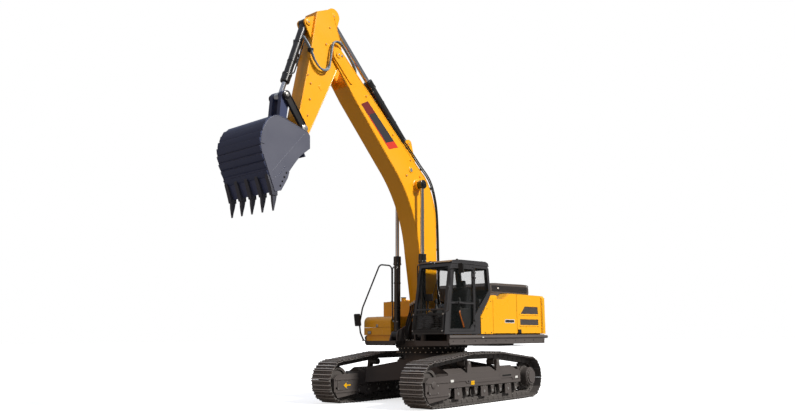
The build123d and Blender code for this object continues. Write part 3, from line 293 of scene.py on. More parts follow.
class Piece:
    """One mesh in the making: shapes in millimetres in the row frame, which all ride one body."""

    unfinished = []

    def __init__(self, name, body, material, slot, turned=False):
        self.name, self.body, self.material, self.slot = name, body, material, slot
        self.turn = Matrix.Rotation(TRACK_TURN, 4, "Z") if turned else Matrix()
        self.bm = bmesh.new()
        self.mesh = bpy.data.meshes.new(name)
        Piece.unfinished.append(self)

    def keep(self, shape):
        """Adds a finished shape to the piece."""
        shape.to_mesh(self.mesh)
        shape.free()
        self.bm.from_mesh(self.mesh)

    def skin(self, rings):
        """Closed skin through rings of points."""
        self.keep(loft(rings))

    def prism(self, points, y0, y1):
        """Side-view (x, z) outline swept across from y0 to y1."""
        self.skin([[(x, y, z) for x, z in points] for y in (y0, y1)])

    def box(self, x0, x1, y0, y1, z0, z1, soft=0.0, turn=None):
        """Block with its edges rounded by soft, turned about its own middle."""
        shape = bmesh.new()
        size = Matrix.Diagonal((x1 - x0, abs(y1 - y0), z1 - z0, 1.0))
        centre = Matrix.Translation(((x0 + x1) / 2, (y0 + y1) / 2, (z0 + z1) / 2))
        bmesh.ops.create_cube(shape, size=1.0, matrix=centre @ (turn or Matrix()) @ size)
        if soft:
            bmesh.ops.bevel(shape, geom=list(shape.edges), offset=soft, segments=2, profile=0.5,
                            affect="EDGES", material=-1)
        self.keep(shape)

    def lathe(self, start, toward, profile, sides=28):
        """Turned shape from start along toward; profile is (distance along, radius) pairs."""
        start, axis = Vector(start), Vector(toward).normalized()
        side = axis.orthogonal().normalized()
        places = [station(start + along * axis, side, axis, radius) for along, radius in profile]
        self.keep(tube(places, sides))

    def boss(self, pin, y, profile, sides=28):
        """Turned shape that stands out sideways from y, about the pin or hole at (x, z)."""
        self.lathe((pin[0], y, pin[1]), (0, math.copysign(1, y), 0), profile, sides)

    def collar(self, start, axis, profile, inner, sides=40):
        """Open ring round a tube: the profile, led back along the inner radius, is spun all the way round."""
        side = axis.orthogonal().normalized()
        outline = profile + [(profile[-1][0], inner), (profile[0][0], inner)]
        shape = bmesh.new()
        corners = [shape.verts.new(start + along * axis + radius * side) for along, radius in outline]
        edges = [shape.edges.new(pair) for pair in zip(corners, corners[1:] + corners[:1])]
        bmesh.ops.spin(shape, geom=corners + edges, cent=start, axis=axis, dvec=(0, 0, 0), angle=math.tau,
                       steps=sides, use_merge=True, use_duplicate=False)
        self.keep(shape)

    def bar(self, start, end, radius, sides=20):
        """Round bar from start to end."""
        reach = Vector(end) - Vector(start)
        self.lathe(start, reach, [(0, radius), (reach.length, radius)], sides)

    def bolt(self, at, toward, size=14, height=12):
        """Hexagon head on its washer, standing on the surface at that point."""
        self.lathe(at, toward, [(-2, size * 1.25), (3, size * 1.25)], 16)
        self.lathe(at, toward, [(3, size), (height - 2, size), (height, size * 0.8)], 6)

    def side_bolt(self, hole, y, size=14, height=12):
        """Bolt that stands out sideways from y at the hole's (x, z)."""
        self.bolt((hole[0], y, hole[1]), (0, math.copysign(1, y), 0), size, height)

    def pipe(self, points, radius, sides=12, steps=5):
        """Bent tube through the points, curved as a hose or a drawn pipe curves."""
        way = smooth_way(points, steps)
        side = (way[1] - way[0]).orthogonal().normalized()
        places = []
        for i, centre in enumerate(way):
            ahead = (way[min(i + 1, len(way) - 1)] - way[max(i - 1, 0)]).normalized()
            side = (side - side.dot(ahead) * ahead).normalized()
            places.append(station(centre, side, ahead, radius))
        self.keep(tube(places, sides))

    def finish(self, second=None, place=True):
        """Makes the piece an object with its finish, a second one on some faces and its body."""
        Piece.unfinished.remove(self)
        bmesh.ops.recalc_face_normals(self.bm, faces=self.bm.faces)
        bmesh.ops.transform(self.bm, matrix=self.turn @ Matrix.Scale(0.001, 4), verts=self.bm.verts)
        self.bm.to_mesh(self.mesh)
        self.bm.free()
        self.mesh.polygons.foreach_set("use_smooth", [True] * len(self.mesh.polygons))
        self.mesh.set_sharp_from_angle(angle=math.radians(35))
        for finish in filter(None, (self.material, second)):
            self.mesh.materials.append(finish)
        made = bpy.data.objects.new(self.name, self.mesh)
        bpy.context.scene.collection.objects.link(made)
        if place:
            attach(made, self.body)
        return made


def block(name, body, material, slot, *limits):
    """Piece that is one block, between the same limits as Piece.box takes."""
    Piece(name, body, material, slot).box(*limits)


def smooth_way(points, steps):
    """Catmull-Rom curve through the points."""
    points = [Vector(p) for p in points]
    ends = [2 * points[0] - points[1]] + points + [2 * points[-1] - points[-2]]
    way = []
    for a, b, c, d in zip(ends, ends[1:], ends[2:], ends[3:]):
        for k in range(steps):
            t = k / steps
            way.append(0.5 * (2 * b + (c - a) * t + (2 * a - 5 * b + 4 * c - d) * t * t
                              + (3 * b - a - 3 * c + d) * t ** 3))
    return way + [points[-1]]


def round_corners(points, cut):
    """Outline with each corner cut twice, so that it reads as rounded."""
    out = []
    for before, at, after in zip(points[-1:] + points[:-1], points, points[1:] + points[:1]):
        here = Vector(at)
        near, far = Vector(before) - here, Vector(after) - here
        a, b = here + near.normalized() * cut, here + far.normalized() * cut
        out += [tuple(a), tuple((a + b) / 4 + here / 2), tuple(b)]
    return out


# pins of the working gear in side view, (x, z), and half widths across
BOOM_BASE, BOOM_EYE = (790, 1530), (750, 5100)
ARM_PIN, ARM_BASE, ARM_EYE = (3360, 7700), (920, 6120), (3400, 8630)
BUCKET_BASE, LINK_PIN, ROCKER_PIN = (4140, 8270), (4780, 6460), (4300, 5830)
BUCKET_PIN = (4440, 5400)
BOOM_SIDE, ARM_SIDE, ROCKER_SIDE, BUCKET_SIDE = 240, 190, 243, 718
CYLINDER_OFFSET = 405                # each boom cylinder from the middle
HALF_GAUGE = 1295                    # each track from the middle
BODY_SIDE = 1470                     # outer face of the doors on the body
SEAM = 7                             # radius of the weld seams


# ---------------------------------------------------------------- tracks
SHOES = 50                           # on each track
BELT_HEIGHT = 118                    # links' outer face over the wheels' treads
GROUSER = 42                         # height of a grouser
SPROCKET, IDLER = (-2030, 500), (2030, 500)      # middles of the end wheels, (x, z)
# across a shoe: y, and the share of its length and its height there
SHOE_ENDS = ((-300, 0.92, 0.7), (-288, 1, 1), (288, 1, 1), (300, 0.92, 0.7))


def belt_runs(circles):
    """Straight runs round circles given as (x, z, radius): start, end, outward angle."""
    runs = []
    for (x1, z1, r1), (x2, z2, r2) in zip(circles, circles[1:] + circles[:1]):
        out = math.atan2(z2 - z1, x2 - x1) - math.acos((r1 - r2) / math.hypot(x2 - x1, z2 - z1))
        turn = Vector((math.cos(out), math.sin(out)))
        runs.append((Vector((x1, z1)) + r1 * turn, Vector((x2, z2)) + r2 * turn, out))
    return runs


def track_stations(count):
    """Evenly spaced places on the links' outer face: (x, z, outward angle), and their spacing."""
    ground, wheel, top = BELT_HEIGHT + 100, BELT_HEIGHT + 325, BELT_HEIGHT + 75
    circles = [(-1600, 260, ground), (1600, 260, ground), (*IDLER, wheel),
               (600, 905, top), (-620, 905, top), (*SPROCKET, wheel)]
    runs = belt_runs(circles)
    bends = circles[1:] + circles[:1]
    lengths = []
    for (start, end, out), (_, _, radius), (_, _, next_out) in zip(runs, bends, runs[1:] + runs[:1]):
        lengths.append(((end - start).length, radius * ((next_out - out) % math.tau)))
    step = sum(a + b for a, b in lengths) / count
    stations, along = [], step / 2
    for (start, end, out), (x, z, radius), (straight, bend) in zip(runs, bends, lengths):
        while along < straight:
            at = start.lerp(end, along / straight)
            stations.append((at.x, at.y, out))
            along += step
        along -= straight
        while along < bend:
            angle = out + along / radius
            stations.append((x + radius * math.cos(angle), z + radius * math.sin(angle), angle))
            along += step
        along -= bend
    return stations, step


def track(name, side):
    """Fifty shoes with three grousers each, bolted to two strands of links on pins."""
    stations, pitch = track_stations(SHOES)
    half = pitch / 2
    shoe = [(-half + 4, 0), (-half + 4, 36), (-half + 8, GROUSER), (-half + 22, GROUSER), (-half + 32, 12),
            (-18, 12), (-9, GROUSER), (9, GROUSER), (18, 12), (half - 30, 12), (half - 20, GROUSER),
            (half - 5, GROUSER), (half - 2, 34), (half + 7, 8), (half + 4, 0)]
    link = [(-half - 26, -70), (-half - 26, -104), (-half - 8, -116), (half - 34, -116), (half + 4, -96),
            (half + 4, -60), (half - 20, -2), (-half + 16, -2)]
    piece = Piece(name, "undercarriage", TRACK_STEEL, "track_steel", turned=True)
    centre = side * HALF_GAUGE
    for x, z, out in stations:
        c, s = math.cos(out), math.sin(out)

        def placed(along, y, up):
            return Vector((x - along * s + up * c, centre + y, z + along * c + up * s))

        plate = loft([[placed(u * length, y, w * height) for u, w in shoe]
                      for y, length, height in SHOE_ENDS])
        for face in plate.faces:                                 # worn bright where the grousers bite, and lighter still as a painted highlight
            low = min((vert.co.x - x) * c + (vert.co.z - z) * s for vert in face.verts)
            face.material_index = int(low > GROUSER - 1)
        piece.keep(plate)
        for strand in (-74, 74):
            piece.skin([[placed(u, strand + y, w) for u, w in link] for y in (-24, 24)])
            for u in (-50, 50):
                for y in (-26, 26):
                    piece.bolt(placed(u, strand + y, 14), (c, 0, s), 13, 15)
        piece.bar(placed(half, -112, -66), placed(half, 112, -66), 24, 12)
    return piece.finish(GROUSER_WEAR_AND_HIGHLIGHT)


for node, side in (("left_track", 1), ("right_track", -1)):
    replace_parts(track(node + "_shoes", side), node)


# ---------------------------------------------------------------- undercarriage
YOKE_FACE, FRAME_FACE, ROLLER_FACE = 230, 185, 160      # each way from the middle of a track


def wheel_and_frame_details():
    """Plates, ridges and guards welded to the track frames, roller brackets, and every bolt on them."""
    iron = Piece("track_frame_details", "undercarriage", FRAME_PAINT, "frame_dark", turned=True)
    bolts = Piece("undercarriage_bolts", "undercarriage", ZINC, "casting_iron", turned=True)
    step = [(1110, 700), (1080, 600), (740, 600), (700, 545), (-640, 545), (-700, 600), (-1240, 600),
            (-1270, 560), (-1560, 560), (-1560, 470), (-1250, 470), (-1220, 515), (-720, 515),
            (-680, 470), (720, 470), (760, 520), (1450, 520), (1450, 700)]
    for side in (1, -1):
        middle = side * HALF_GAUGE
        for face in (1, -1):                                     # outer and inner face of each frame
            y = middle + face * YOKE_FACE
            for z in (262, 540):
                iron.prism([(1480, z - 16), (2270, z - 16), (2258, z + 16), (1480, z + 16)],
                           y - face * 3, y + face * 16)
            iron.prism(round_corners([(1840, 300), (2190, 300), (2190, 505), (1840, 505)], 30),
                       y - face * 3, y + face * 9)
            for x in (1870, 2160):
                for z in (325, 480):
                    bolts.bolt((x, y + face * 9, z), (0, face, 0), 12, 12)
            y = middle + face * FRAME_FACE
            iron.prism(step, y - face * 3, y + face * 14)
            iron.box(-1560, 1470, y - face * 3, y + face * 24, 398, 418)
        for x in [-1400 + 350 * i for i in range(9)]:            # roller brackets
            for face in (1, -1):
                y = middle + face * ROLLER_FACE
                iron.prism([(x - 82, 402), (x + 82, 402), (x + 62, 330), (x + 52, 226), (x + 20, 205),
                            (x - 20, 205), (x - 52, 226), (x - 62, 330)], y - face * 2, y + face * 26)
                bolts.lathe((x, y + face * 26, 260), (0, face, 0), [(0, 34), (6, 34), (8, 28)], 20)
                for offset in (-44, 44):
                    bolts.bolt((x + offset, y + face * 26, 368), (0, face, 0), 12, 14)
        inner = middle - side * 168                              # guard inside the lower rollers
        iron.prism([(-1380, 400), (1380, 400), (1330, 190), (-1330, 190)], inner, inner - side * 14)
        roof = [(middle - 165, 697), (middle, 795), (middle + 165, 697)]     # ridge that sheds the mud
        iron.skin([[(x, y, z) for y, z in roof] for x in (-1480, 1370)])
        for x in (600, -620):                                    # carrier roller stands
            y = middle + side * 176
            iron.prism([(x - 92, 700), (x + 92, 700), (x + 66, 860), (x + 60, 940), (x + 30, 966),
                        (x - 30, 966), (x - 60, 940), (x - 66, 860)], y - side * 4, y + side * 12)
            bolts.boss((x, 905), y + side * 12, [(0, 30), (8, 30), (10, 24)], 20)
        cover = middle + side * 270                              # final drive cover
        sprocket = middle + side * 70
        for count, circle, y, size, height in ((12, 172, cover, 9, 10), (24, 245, sprocket, 11, 13)):
            for i in range(count):
                angle = math.tau * i / count
                hole = (SPROCKET[0] + circle * math.cos(angle), SPROCKET[1] + circle * math.sin(angle))
                bolts.side_bolt(hole, y, size, height)
        iron.boss(SPROCKET, middle + side * 240, [(-6, 214), (6, 214), (10, 205), (10, 150)], 48)
        iron.boss(IDLER, middle + side * 240, [(-8, 74), (14, 74), (20, 64)], 32)


def swing_bearing():
    """Flanges of the turning ring with forty bolts each, from below and from above."""
    ring = Piece("swing_bearing_flange", "undercarriage", CAST_IRON, "casting_iron", turned=True)
    ring.lathe((0, 0, 1096), (0, 0, 1), [(0, 868), (26, 868), (30, 862), (30, 790), (30, 700)], 96)
    upper = Piece("swing_bearing_upper_flange", "upper", CAST_IRON, "casting_iron")
    upper.lathe((0, 0, 1240), (0, 0, 1), [(0, 700), (0, 862), (4, 868), (30, 868)], 96)
    low = Piece("swing_bearing_lower_bolts", "undercarriage", ZINC, "casting_iron", turned=True)
    high = Piece("swing_bearing_upper_bolts", "upper", ZINC, "casting_iron")
    for i in range(40):
        angle = math.tau * i / 40
        x, y = 840 * math.cos(angle), 840 * math.sin(angle)
        low.bolt((x, y, 1126), (0, 0, 1), 15, 20)
        high.bolt((x, y, 1240), (0, 0, -1), 15, 20)


def undercarriage_marks():
    """Blank decals: two white and one yellow on each frame, a yellow arrow on the inner front faces."""
    white = Piece("track_frame_white_decals", "undercarriage", WHITE_FILM, "frame_dark", turned=True)
    yellow = Piece("track_frame_yellow_decals", "undercarriage", YELLOW_FILM, "frame_dark", turned=True)
    hole = Piece("track_frame_openings", "undercarriage", OPENING_SHADE_BLACK, "frame_dark", turned=True)
    arrow = [(1750, 388), (1895, 388), (1895, 338), (1990, 403), (1895, 468), (1895, 418), (1750, 418)]
    for side in (1, -1):
        y = side * (HALF_GAUGE + FRAME_FACE)
        film = y + side * 15.5                                   # outer face of the decals
        for x, z in ((1290, 545), (-1430, 515)):
            white.box(x - 55, x + 55, y + side * 13, film, z - 26, z + 26)
        yellow.box(420, 560, y + side, film, 430, 466)
        yellow.box(420, 560, y + side * 12, film, 472, 515)
        # Thin near-black disc and strip on the frame face: painted shade of openings.
        hole.boss((660, 508), y + side * 13, [(0, 21), (2.5, 21)], 20)
        hole.box(-1180, -780, y + side * 13, y + side * 15, 555, 592)
        y = side * (HALF_GAUGE - YOKE_FACE)
        yellow.prism(arrow, y - side, y - side * 11.5)


# ---------------------------------------------------------------- working gear
def plugs(paint, steel, side, plane, places):
    """Welded bosses with a plug in each, given as (x, z, radius), on the side plate at that half width."""
    for x, z, r in places:
        paint.boss((x, z), side * (plane - 2), [(0, r), (16, r), (20, r - 5)], 20)
        steel.boss((x, z), side * (plane + 18), [(0, r * 0.45), (5, r * 0.45)], 12)


def boom_details():
    """Seams, bosses, plugs and pin caps of the boom, and the pipes, hoses and clamps up its back."""
    paint = Piece("boom_bosses_and_seams", "boom", BOOM_PAINT, "boom_yellow")
    pipes = Piece("boom_pipes", "boom", BOOM_PAINT, "boom_yellow")
    steel = Piece("boom_pins_and_fittings", "boom", ZINC, "rod_chrome")
    black = Piece("boom_hose_clamps", "boom", RUBBER, "black_paint")
    back = [(50, 1990), (60, 2900), (58, 4250), (205, 4950), (390, 5290), (630, 5500), (1400, 6184),
            (2300, 6985), (3150, 7741)]                          # top edge, foot to tip
    belly = [(455, 2060), (690, 3500), (795, 4050), (1010, 4610), (1290, 5080), (1620, 5470), (2860, 6820),
             (3060, 7070), (3420, 7570)]
    clamps = ((20, 2700, 70), (18, 3600, 70), (40, 4420, -8), (200, 5090, -8), (560, 5510, -41),
              (1080, 5960, -41), (1620, 6440, -41), (2160, 6920, -41))       # x, z and slope
    for side in (1, -1):
        y = side * BOOM_SIDE
        for line, shift in ((back, 14), (belly, -14)):
            paint.pipe([(x + shift, y, z - shift) for x, z in line], SEAM, 6, 4)
        plugs(paint, steel, side, BOOM_SIDE, ((2470, 6950, 26), (1590, 6200, 24), (980, 5690, 24),
                                              (1120, 5300, 30), (640, 5330, 26), (560, 3300, 22),
                                              (300, 2500, 22)))
        paint.boss((960, 5450), y - side * 2, [(0, 74), (10, 74), (14, 66)], 32)
        steel.boss((960, 5450), y + side * 10, [(0, 44), (6, 44)], 28)
        for offset in (side * 128, side * 174):                  # high pressure pipes up the back
            way = [(x - 34, offset, z + 30) for x, z in back[:3]]
            way += [(x - 26, offset, z + 36) for x, z in back[3:-1] + [(2760, 7394)]]
            pipes.pipe(way, 17, 12, 6)
            steel.bar((2722, offset, 7420), (2764, offset, 7458), 25, 6)
            steel.bar((14, offset, 2010), (16, offset, 2066), 25, 6)
        for x, z, slope in clamps:
            black.box(x - 26, x + 26, side * 100, side * 204, z - 24, z + 36, 4,
                      Matrix.Rotation(math.radians(slope), 4, "Y"))
        for pin, reach, radius in ((ARM_PIN, 276, 92), (ARM_BASE, 150, 74)):
            paint.boss(pin, side * reach, [(-6, radius * 0.8), (6, radius * 0.8)], 32)
            steel.side_bolt(pin, side * (reach + 6), 18, 12)
        steel.box(ARM_PIN[0] - 120, ARM_PIN[0] - 40, side * 262, side * 278, 7676, 7724, 3)
        paint.boss(BOOM_EYE, y, [(-4, 150), (14, 150), (22, 138)], 40)
        for y, lift in ((side * 206, 30), (side * 228, 52)):     # hoses to the arm cylinder and the arm
            black.pipe([(1800, y, 6560), (1700 - lift / 2, y, 6500 + lift), (1400 - lift, y, 6210 + lift),
                        (1000 - lift, y, 5880 + lift), (640 - lift, y, 5560 + lift),
                        (330 - lift, y, 5290 + lift), (150 - lift, y, 4980 + lift / 2),
                        (40 - lift, y, 4500), (10 - lift, y, 3600), (12 - lift, y, 2700),
                        (10, y * 0.9, 2060)], 16, 10, 4)


def boom_panels():
    """The band on each side of the boom, left blank: dark red, grey with a red edge, and red."""
    a, b, c, d = Vector((2640, 6730)), Vector((2420, 6840)), Vector((1410, 5925)), Vector((1720, 5830))
    grey_from, grey_to = 0.24, 0.86                              # along the band
    for k, (film, s, t) in enumerate(((DARK_RED_FILM, 0.0, grey_from), (GREY_FILM, grey_from, grey_to),
                                      (RED_FILM, grey_to, 1.0))):
        piece = Piece(f"boom_side_band_{k + 1}", "boom", film, "boom_yellow")
        for side in (1, -1):
            piece.prism([a.lerp(d, s), b.lerp(c, s), b.lerp(c, t), a.lerp(d, t)],
                        side * (BOOM_SIDE + 0.5), side * (BOOM_SIDE + 2.5))
    edge = Piece("boom_side_band_edge", "boom", RED_FILM, "boom_yellow")
    low, high = a.lerp(d, grey_from), a.lerp(d, grey_to)
    inside = (b - a).normalized() * 22
    for side in (1, -1):
        edge.prism([low, low + inside, high + inside, high], side * (BOOM_SIDE + 1), side * (BOOM_SIDE + 3.4))


def arm_details():
    """Seams, plugs and pin caps of the arm, the plate and the rail on its sides."""
    paint = Piece("arm_bosses_and_seams", "arm", BOOM_PAINT, "boom_yellow")
    steel = Piece("arm_pins_and_fittings", "arm", ZINC, "rod_chrome")
    front = [(4520, 5500), (4430, 6060), (4140, 7430), (3950, 8560)]
    rear = [(4330, 5440), (4110, 5790), (3350, 7330), (3200, 7540), (3185, 7760), (3250, 8100), (3440, 8620)]
    for side in (1, -1):
        y = side * ARM_SIDE
        for line, shift in ((front, -14), (rear, 14)):
            paint.pipe([(x + shift, y, z) for x, z in line], SEAM, 6, 3)
        plugs(paint, steel, side, ARM_SIDE, ((4100, 6880, 26), (4120, 6520, 26), (4180, 7050, 22),
                                             (3670, 7880, 26), (3560, 8300, 22), (4180, 6150, 20)))
        plate = round_corners([(3800, 6945), (3885, 6860), (3800, 6775), (3715, 6860)], 16)
        paint.prism(plate, y - side, y + side * 6)
        paint.pipe([(4150, y, 7420), (4060, y, 7230), (3900, y, 7130), (3740, y, 7160), (3640, y, 7290)],
                   8, 6, 5)
        for cap, pin, reach, radius in ((steel, ROCKER_PIN, 264, 70), (paint, ARM_EYE, 138, 72),
                                        (paint, BUCKET_BASE, 142, 70)):
            cap.boss(pin, side * reach, [(-4, radius), (8, radius), (12, radius - 8)], 32)
            steel.side_bolt(pin, side * (reach + 12), 16, 10)
        paint.boss(BUCKET_PIN, y, [(-4, 108), (8, 108)], 40)
        paint.boss(ROCKER_PIN, y, [(-4, 100), (10, 100)], 40)


def hoses():
    """Hoses clamped at both ends: from the boom's pipes over the tip to the arm, and beside the boom foot."""
    for k, y in enumerate((250, 285, -250, -285)):
        piece = Piece(f"boom_to_arm_hose_{k + 1}", "", HOSE, "black_paint")
        flat = math.copysign(1, y)
        outer = k % 2                                            # the second hose of each pair
        inner = flat * (128 + 46 * outer)
        drop = 30 * outer
        piece.pipe([(2740, inner, 7436), (2830, flat * (206 + 34 * outer), 7524), (3000, y * 0.95, 7700),
                    (3180, y * 0.98, 7880), (3320, y, 7975), (3440, y, 7985),
                    (3530, y, 7910), (3575, y, 7740), (3600 + drop / 2, y, 7500), (3660, y, 7330 - drop),
                    (3780, y, 7250 - drop), (3920, y, 7280 - drop), (4060, y, 7410 - drop),
                    (4160, y * 0.95, 7590), (4235, y * 0.8, 7760), (4290, y * 0.55, 7900)], 20, 12, 6)
        hose = piece.finish(place=False)
        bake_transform(hose)
    clamps = Piece("arm_hose_clamps", "arm", RUBBER, "black_paint")
    for side in (1, -1):
        clamps.box(4110, 4200, side * 188, side * 290, 7560, 7640, 6)
        clamps.side_bolt((4155, 7600), side * 290, 14, 10)
    foot = Piece("boom_foot_hoses", "", RUBBER, "black_paint")
    ends = Piece("boom_foot_hose_fittings", "boom", ZINC, "rod_chrome")
    stubs = Piece("platform_hose_fittings", "upper", ZINC, "rod_chrome")
    for k in range(7):
        y = -225 + 75 * k
        lean = 30 * (k % 3)
        foot.pipe([(660, y * 0.9, 1402), (700 + lean, y, 1520), (690 + lean, y, 1700), (620, y, 1900 + lean),
                   (560, y * 0.9, 2080 + lean), (545, y * 0.85, 2230 + lean)], 19, 10, 5)
        ends.bar((545, y * 0.85, 2225 + lean), (543, y * 0.84, 2290 + lean), 26, 6)
        stubs.bar((660, y * 0.9, 1402), (668, y * 0.9, 1440), 27, 6)
    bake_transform(foot.finish(place=False))


def cylinder_details():
    """Head glands, port blocks and feed pipes on the four cylinder tubes."""
    for k, (body, base, tip, length, radius, y) in enumerate((
            ("boom_cylinder_tubes", BOOM_BASE, BOOM_EYE, 1890, 78, CYLINDER_OFFSET),
            ("boom_cylinder_tubes", BOOM_BASE, BOOM_EYE, 1890, 78, -CYLINDER_OFFSET),
            ("arm_cylinder_tube", ARM_BASE, ARM_EYE, 1820, 98, 0),
            ("bucket_cylinder_tube", BUCKET_BASE, LINK_PIN, 1540, 88, 0))):
        black = Piece(f"cylinder_head_{k + 1}", body, BLACK_GLOSS, "cylinder_black")
        steel = Piece(f"cylinder_fittings_{k + 1}", body, ZINC, "rod_chrome")
        start = Vector((base[0], y, base[1]))
        axis = Vector((tip[0] - base[0], 0, tip[1] - base[1])).normalized()
        up = Vector((-axis.z, 0, axis.x))
        bore = radius - 3                                        # inside the tube's wall
        gland = [(0, 4), (0, 20), (34, 20), (34, 14), (185, 14), (190, 6), (206, -6), (212, -19), (202, -19)]
        black.collar(start + axis * (length - 205), axis, [(at, radius + over) for at, over in gland], bore)
        black.collar(start + axis * 110, axis, [(0, radius + 2), (26, radius + 2), (34, radius)], bore)
        for i in range(8):
            angle = math.tau * i / 8
            around = math.cos(angle) * up + math.sin(angle) * Vector((0, 1, 0))
            steel.bolt(start + axis * (length - 171) + around * (radius + 12), axis, 8, 12)
        for face in (1, -1):
            out = (up * 0.75 + Vector((0, face * 0.66, 0))).normalized() * -1
            low, high = start + axis * 330 + out * radius, start + axis * (length - 260) + out * radius
            black.pipe([low, low + out * 34 + axis * 30, low + out * 36 + axis * 200,
                        high + out * 36 - axis * 200, high + out * 34 - axis * 30, high], 15, 10, 5)
            for port in (high, low):
                steel.bar(port - out * 4, port + out * 30, 22, 12)
        for share in (0.34, 0.66):                               # bands that hold the feed pipes
            band = [(0, radius + 1), (2, radius + 8), (30, radius + 8), (32, radius + 1)]
            black.collar(start + axis * (length * share - 16), axis, band, bore, 36)


def rod_eyes():
    """Sleeves and pin caps at the boom cylinders' rod ends."""
    eyes = Piece("boom_rod_eye_sleeves", "boom_cylinder_rods", BLACK_GLOSS, "cylinder_black")
    for side in (1, -1):
        eyes.lathe((BOOM_EYE[0], side * CYLINDER_OFFSET - 57, BOOM_EYE[1]), (0, 1, 0),
                   [(0, 100), (4, 107), (110, 107), (114, 100)], 36)
        eyes.boss(BOOM_EYE, side * (CYLINDER_OFFSET + 55), [(0, 62), (14, 62), (20, 54)])
        eyes.side_bolt(BOOM_EYE, side * (CYLINDER_OFFSET + 73), 16, 12)


def linkage_details():
    """Raised rims and pin caps of the rocker, and the bosses of the bucket link."""
    rim = Piece("rocker_flanges", "rocker", BLACK_GLOSS, "black_paint")
    steel = Piece("rocker_pin_caps", "rocker", ZINC, "rod_chrome")
    link = Piece("bucket_link_bosses", "bucket_link", SLATE_AND_SHADE_PAINT, "bucket_grey")
    low, high = Vector((ROCKER_PIN[0], 0, ROCKER_PIN[1])), Vector((LINK_PIN[0], 0, LINK_PIN[1]))
    axis = (high - low).normalized()
    across = Vector((-axis.z, 0, axis.x))
    for side in (1, -1):
        for edge in (1, -1):
            rings = []
            for at, reach in ((low + axis * 80, 84), (high - axis * 80, 86)):
                rings.append([at + across * edge * (reach - w) + Vector((0, side * (ROCKER_SIDE + out), 0))
                              for w, out in ((0, 0), (0, 16), (18, 16), (18, 0))])
            rim.skin(rings)
        for pin, radius in ((ROCKER_PIN, 84), (LINK_PIN, 88)):
            rim.boss(pin, side * ROCKER_SIDE, [(0, radius), (14, radius), (18, radius - 6)], 36)
        steel.boss(LINK_PIN, side * 256, [(0, 44), (10, 44), (14, 38)])
        steel.side_bolt(LINK_PIN, side * 268, 14, 10)
        link.boss(LINK_PIN, side * ARM_SIDE, [(0, 98), (10, 98)], 36)


def bucket_details():
    """Wear bands round the shell, side plates and seams, cutter bolts, and the teeth on their adapters."""
    paint = Piece("bucket_side_wear_plates", "bucket", BUCKET_PAINT, "bucket_grey")
    # The bands take the darker slate: painted shade over the bucket's back.
    bands = Piece("bucket_wear_bands", "bucket", SLATE_AND_SHADE_PAINT, "bucket_grey")
    back = [(5110, 5680), (5400, 5765), (5600, 5655), (5690, 5530), (5755, 5345), (5768, 5170), (5715, 4960),
            (5635, 4770), (5545, 4556), (5465, 4365)]
    spots = smooth_way([(x, 0, z) for x, z in back], 4)
    for i in range(1, len(spots) - 4, 3):
        at, ahead = spots[i], (spots[i + 1] - spots[i - 1]).normalized()
        out = Vector((ahead.z, 0, -ahead.x))
        out = out if out.dot(at - Vector((5150, 0, 5100))) > 0 else -out
        ring = [at - ahead * 68 - out * 3, at - ahead * 64 + out * 34, at + ahead * 40 + out * 20,
                at + ahead * 72 - out * 3]
        bands.prism([(v.x, v.z) for v in ring], 2 - BUCKET_SIDE, BUCKET_SIDE - 2)
    outline = [(4600, 5595), (5110, 5742), (5280, 5782), (5430, 5778), (5580, 5680), (5690, 5530),
               (5750, 5350), (5770, 5170), (5718, 4960), (5450, 4330)]
    heel = [(5718, 4960), (5640, 4775), (5450, 4330), (5390, 4360), (5560, 4800), (5640, 4985)]
    corner = [(5770, 5170), (5750, 5350), (5690, 5530), (5620, 5500), (5672, 5340), (5690, 5170)]
    for side in (1, -1):
        y = side * BUCKET_SIDE
        paint.pipe([(x, y - side, z) for x, z in outline], 9, 6, 4)
        paint.prism(heel, y, y + side * 18)
        paint.prism(corner, y, y + side * 14)
        paint.bar((5530, y, 4621), (4690, y, 5555), 6, 8)
    # Cutter bolt recesses as near-black bosses: painted shade in the recesses.
    holes = Piece("side_cutter_bolts", "bucket", OPENING_SHADE_BLACK, "bucket_grey")
    for side in (1, -1):
        for k in range(4):
            holes.boss((5300 - 48 * k, 4400 + 92 * k), side * (BUCKET_SIDE + 19),
                       [(0, 21), (4, 21), (6, 17)], 20)
    teeth = Piece("bucket_adapters_and_teeth", "bucket", TOOTH_STEEL, "track_steel")
    #         z, x front, x back, half width
    form = ((4620, 5590, 5510, 44), (4560, 5588, 5440, 56), (4400, 5528, 5372, 62), (4290, 5492, 5362, 64),
            (4205, 5470, 5352, 58), (4200, 5452, 5362, 42), (4100, 5446, 5374, 38), (3990, 5430, 5396, 30),
            (3906, 5418, 5404, 20))
    for k in range(5):
        y = (k - 2) * 335
        teeth.skin([[(front, y - half * 0.8, z), (front, y + half * 0.8, z), (rear, y + half, z),
                     (rear, y - half, z)] for z, front, rear, half in form])
        teeth.bar((5410, y - 56, 4255), (5410, y + 56, 4255), 14, 12)
    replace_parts(teeth.finish(), "bucket_teeth")


# ---------------------------------------------------------------- cab
CAB_LOW, CAB_HIGH = 530, 1470        # its right and left faces
CUSHION_SECTIONS = 5                 # lengths that a cushion is built up from
CUSHION_SWELL = 0.010                # the most that a cover moves when it is filled
CLOTH_FRAMES = 20                    # for the covers to settle


def window_seal(piece, corners):
    """Rubber seal round a pane."""
    piece.pipe(corners + corners[:1], 9, 6, 1)


